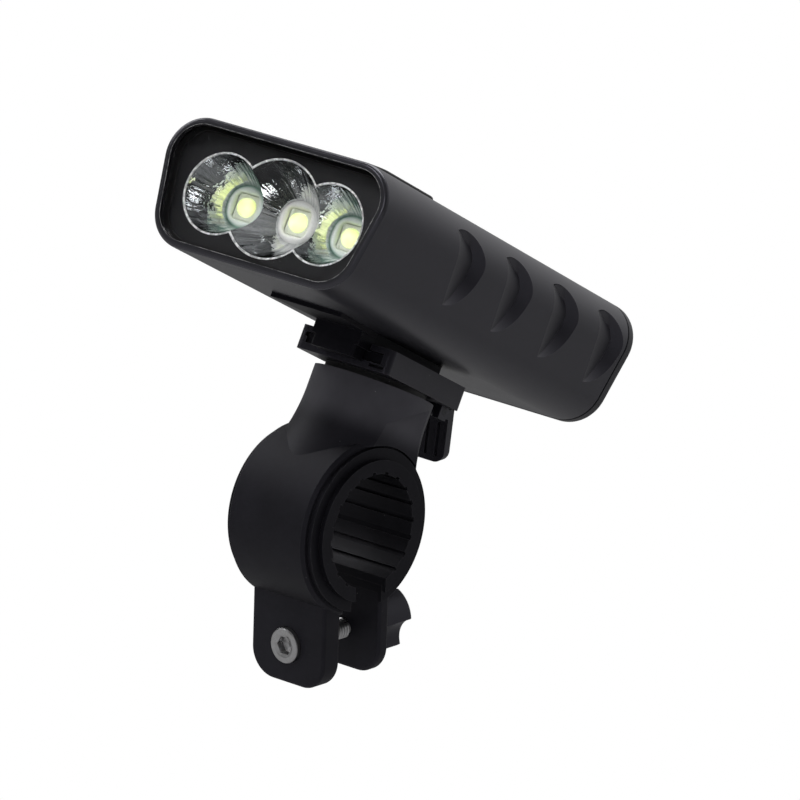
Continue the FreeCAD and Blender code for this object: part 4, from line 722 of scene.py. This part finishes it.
def collarFinish(look, height):
    material, tree, shader = newFinish("collar finish", look["colour"], look["roughness"])
    spoke, along, outer = cupSpoke(tree, height)
    radius = times(tree, vectorMaths(tree, "LENGTH", spoke), perMetre)
    grain = useGrain(tree, look)
    # painted shade: each collar darkens towards its outer edge; painted reflection: the outer two
    # take a green tint of the board
    edge = ramp(tree, radius, *look["edge"])
    plain = mixColour(tree, edge, look["plain"], look["paintedPlainShade"])
    green = mixColour(tree, edge, look["green"], look["paintedGreenShade"])
    colour = mixColour(tree, outer, plain, green)
    cloudy = mixColour(tree, times(tree, grain["Clouds"], look["cloudShare"]), colour,
        look["cloud"])
    polish = ramp(tree, grain["Mottle"], *noiseSpan, *look["polish"])
    paint(tree, shader, Base_Color=cloudy, Roughness=polish)
    setBump(tree, shader, grain["Height"], look["bump"], look["depth"])
    return material


def buildCollars(look):
    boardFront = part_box("led_collars")[1].y
    angles = [fullTurn * step / look["steps"] for step in range(look["steps"])]
    mesh = bmesh.new()
    for node in emitters:
        low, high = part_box(node)
        middle = (low + high) / 2
        rings = []
        for lift, share in zip(look["lift"], look["shares"]):
            ring = []
            for angle in angles:
                reach = look["opening"] / max(abs(math.cos(angle)), abs(math.sin(angle)))
                inner = min(reach, look["opening"] * math.sqrt(2) - look["corner"])
                radius = inner + (look["radius"] - inner) * share
                ring.append(mesh.verts.new((middle.x + radius * math.cos(angle), boardFront - lift,
                    middle.z + radius * math.sin(angle))))
            rings.append(ring)
        for inside, outside in zip(rings, rings[1:] + rings[:1]):
            bridge(mesh, inside, outside)
    bmesh.ops.recalc_face_normals(mesh, faces=mesh.faces[:])
    piece = newPiece("led_collars_soft", mesh, collarFinish(look, cupHeight), "lamp")
    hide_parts("led_collars")


buildCollars(collarLook)
print("collars built")


# socket head bolt: chamfered hexagon socket, rounded head, rolled thread on the shank

boltLook = {"headRadius": 0.0035, "headRound": 0.0004, "headHeight": 0.003,
    "roundBends": (0.0, 0.4, 0.8, 1.2), "socketFlat": 0.00165, "socketMouth": 0.00235,
    "mouthDepth": 0.0003, "socketDepth": 0.0018, "drillRadius": 0.0006, "drillDepth": 0.0003,
    "shank": 0.002, "threadRoot": 0.00168, "pitch": 0.0007, "crest": 0.2, "root": 0.55,
    "threadStart": 0.0072, "tipChamfer": 0.0003, "tipStep": 0.0002, "steps": 48}


def boltLevels(look, length):
    # (radius, distance from the head's face, whether the loop has six sides)
    levels = [(look["drillRadius"], look["socketDepth"] + look["drillDepth"], False),
        (look["socketFlat"], look["socketDepth"], True),
        (look["socketFlat"], look["mouthDepth"], True),
        (look["socketMouth"], 0.0, False)]
    for bend in (*look["roundBends"], math.pi / 2):
        levels.append((look["headRadius"] - look["headRound"] * (1 - math.sin(bend)),
            look["headRound"] * (1 - math.cos(bend)), False))
    levels += [(look["headRadius"], look["headHeight"], False),
        (look["shank"], look["headHeight"], False)]
    depth = look["threadStart"]
    while depth < length - look["pitch"]:
        levels += [(look["shank"], depth, False),
            (look["shank"], depth + look["crest"] * look["pitch"], False),
            (look["threadRoot"], depth + look["root"] * look["pitch"], False)]
        depth += look["pitch"]
    return levels + [(look["shank"] - look["tipStep"], length - look["tipChamfer"], False),
        (look["threadRoot"] - look["tipChamfer"], length, False)]


def buildBolt(look):
    along = [vert.co.dot(boltAxis) for vert in nodes["clamp_bolt"].data.vertices]
    start = boltMiddle + boltAxis * (min(along) - boltMiddle.dot(boltAxis))
    turn = boltAxis.to_track_quat("Z", "X").to_matrix().to_4x4()
    sixth = math.pi / 3
    mesh = bmesh.new()
    rings = []
    for radius, depth, sided in boltLevels(look, max(along) - min(along)):
        ring = []
        for step in range(look["steps"]):
            angle = fullTurn * step / look["steps"]
            folded = (angle + sixth / 2) % sixth - sixth / 2
            reach = radius / math.cos(folded) if sided else radius
            ring.append(mesh.verts.new((reach * math.cos(angle), reach * math.sin(angle), depth)))
        rings.append(ring)
    for inside, outside in zip(rings, rings[1:]):
        bridge(mesh, inside, outside)
    mesh.faces.new(rings[0])
    mesh.faces.new(rings[-1])
    bmesh.ops.recalc_face_normals(mesh, faces=mesh.faces[:])
    bmesh.ops.transform(mesh, matrix=Matrix.Translation(start) @ turn, verts=mesh.verts[:])
    piece = newPiece("clamp_bolt_threaded", mesh, finishes["bolt"], "clamp", smooth=False)
    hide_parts("clamp_bolt")


buildBolt(boltLook)
print("bolt built")


# stage: the floor is pale to look at and as a bounce, and dimmer in the sheen of the dark plastic

floorLook = {"size": 15.0, "drop": -0.4, "colour": (0.72, 0.72, 0.72), "mirrored": (0.3, 0.3, 0.3),
    "roughness": 0.8}


def buildFloor(look):
    mesh = bmesh.new()
    bmesh.ops.create_grid(mesh, x_segments=1, y_segments=1, size=look["size"])
    bmesh.ops.translate(mesh, verts=mesh.verts[:], vec=(0, 0, look["drop"]))
    data = bpy.data.meshes.new("studio floor")
    mesh.to_mesh(data)
    mesh.free()
    material, tree, shader = newFinish("studio floor paint", look["colour"], look["roughness"])
    glossy = addNode(tree, "LightPath").outputs["Is Glossy Ray"]
    paint(tree, shader, Base_Color=mixColour(tree, glossy, look["colour"], look["mirrored"]))
    data.materials.append(material)
    plane = bpy.data.objects.new("studio floor", data)
    bpy.context.scene.collection.objects.link(plane)


# surroundings: white to the camera, graded grey in mirrors and sheen, soft as plain light

skyLook = {"lowFill": 0.25, "highFill": 1.0, "fillSpan": (-0.6, 0.9), "fillTilt": 0.4,
    "frontGlow": 0.022, "backGlow": 0.29, "backSpan": (-0.1, 0.8), "rightShare": 1.3,
    "sideSpan": (0.5, -0.35), "topGlow": 0.45, "topSpan": (0.12, 0.7), "topBack": (-0.35, 0.15),
    "clearSpan": (0.2, 0.5)}


def buildSky(look):
    world = bpy.data.worlds.new("studio world")
    bpy.context.scene.world = world
    world.use_nodes = True
    sky = world.node_tree
    heading = addNode(sky, "SeparateXYZ", {"Vector": addNode(sky, "TexCoord").outputs["Generated"]})
    across, along, upward = (heading.outputs[axis] for axis in "XYZ")
    sides = ramp(sky, across, *look["sideSpan"], look["rightShare"], 1.0)
    around = times(sky, ramp(sky, along, *look["backSpan"]), sides)
    around = timesPlus(sky, around, look["backGlow"], look["frontGlow"])
    overhead = times(sky, ramp(sky, along, *look["topBack"]), look["topGlow"])
    above = times(sky, ramp(sky, upward, *look["topSpan"]), overhead)
    mirrored = maths(sky, "ADD", around, above)
    through = maths(sky, "MAXIMUM", ramp(sky, along, *look["clearSpan"]), mirrored)
    skyward = timesPlus(sky, along, look["fillTilt"], upward)
    fill = ramp(sky, skyward, *look["fillSpan"], look["lowFill"], look["highFill"])
    path = addNode(sky, "LightPath").outputs
    level = times(sky, path["Is Glossy Ray"], mirrored)
    level = timesPlus(sky, path["Is Transmission Ray"], through, level)
    level = maths(sky, "ADD", path["Is Camera Ray"], level)
    special = maths(sky, "MAXIMUM", path["Is Glossy Ray"], path["Is Transmission Ray"])
    special = maths(sky, "MAXIMUM", path["Is Camera Ray"], special)
    level = timesPlus(sky, minus(sky, 1.0, special), fill, level)
    background = sky.nodes["Background"]
    background.inputs["Color"].default_value = (1, 1, 1, 1)
    sky.links.new(level, background.inputs["Strength"])


lampAim = Vector((0, 0, 0.02))
lampLooks = {
    "left soft box": {"place": (-1.0, -0.15, 0.6), "size": (0.5, 0.7), "power": 4.4},
    "top soft box": {"place": (-0.15, 0.1, 1.0), "size": (0.8, 0.6), "power": 7.0},
    "right strip": {"place": (1.0, -0.1, 0.4), "size": (0.2, 0.8), "power": 0.08},
    "high panel": {"place": (-0.3, -0.85, 0.6), "size": (0.32, 0.1), "power": 2.0},
    "left panel": {"place": (-0.8, -0.75, 0.3), "size": (0.06, 0.2), "power": 0.6},
    "upper strip": {"place": (0.22, -1.1, 0.22), "size": (0.06, 0.22), "power": 1.4},
    "side strip": {"place": (0.88, -0.82, -0.1), "size": (0.03, 0.15), "power": 0.12},
    "lower strip": {"place": (0.42, -0.95, -0.5), "size": (0.3, 0.05), "power": 0.55},
}


def buildLamp(name, look):
    light = bpy.data.lights.new(name, "AREA")
    light.shape = "RECTANGLE"
    light.size, light.size_y = look["size"]
    light.energy = look["power"]
    lamp = bpy.data.objects.new(name, light)
    lamp.location = look["place"]
    lamp.rotation_euler = (lampAim - Vector(look["place"])).to_track_quat("-Z", "Y").to_euler()
    bpy.context.scene.collection.objects.link(lamp)


cameraLook = {"lens": 270.0, "sensor": 36.0, "place": (0.57757, -0.98354, -0.05987),
    "right": (0.82708, 0.45111, 0.33532), "up": (-0.25539, -0.22984, 0.93912),
    "forward": (-0.50072, 0.86237, 0.07489)}


def buildCamera(look):
    data = bpy.data.cameras.new("product camera")
    data.lens = look["lens"]
    data.sensor_width = look["sensor"]
    camera = bpy.data.objects.new("product camera", data)
    axes = Matrix((look["right"], look["up"], -Vector(look["forward"]))).transposed()
    camera.matrix_world = Matrix.Translation(look["place"]) @ axes.to_4x4()
    bpy.context.scene.collection.objects.link(camera)
    bpy.context.scene.camera = camera


buildFloor(floorLook)
buildSky(skyLook)
for name, look in lampLooks.items():
    buildLamp(name, look)
buildCamera(cameraLook)
bpy.context.scene.view_settings.view_transform = "Standard"
print("stage, lamps and camera set")
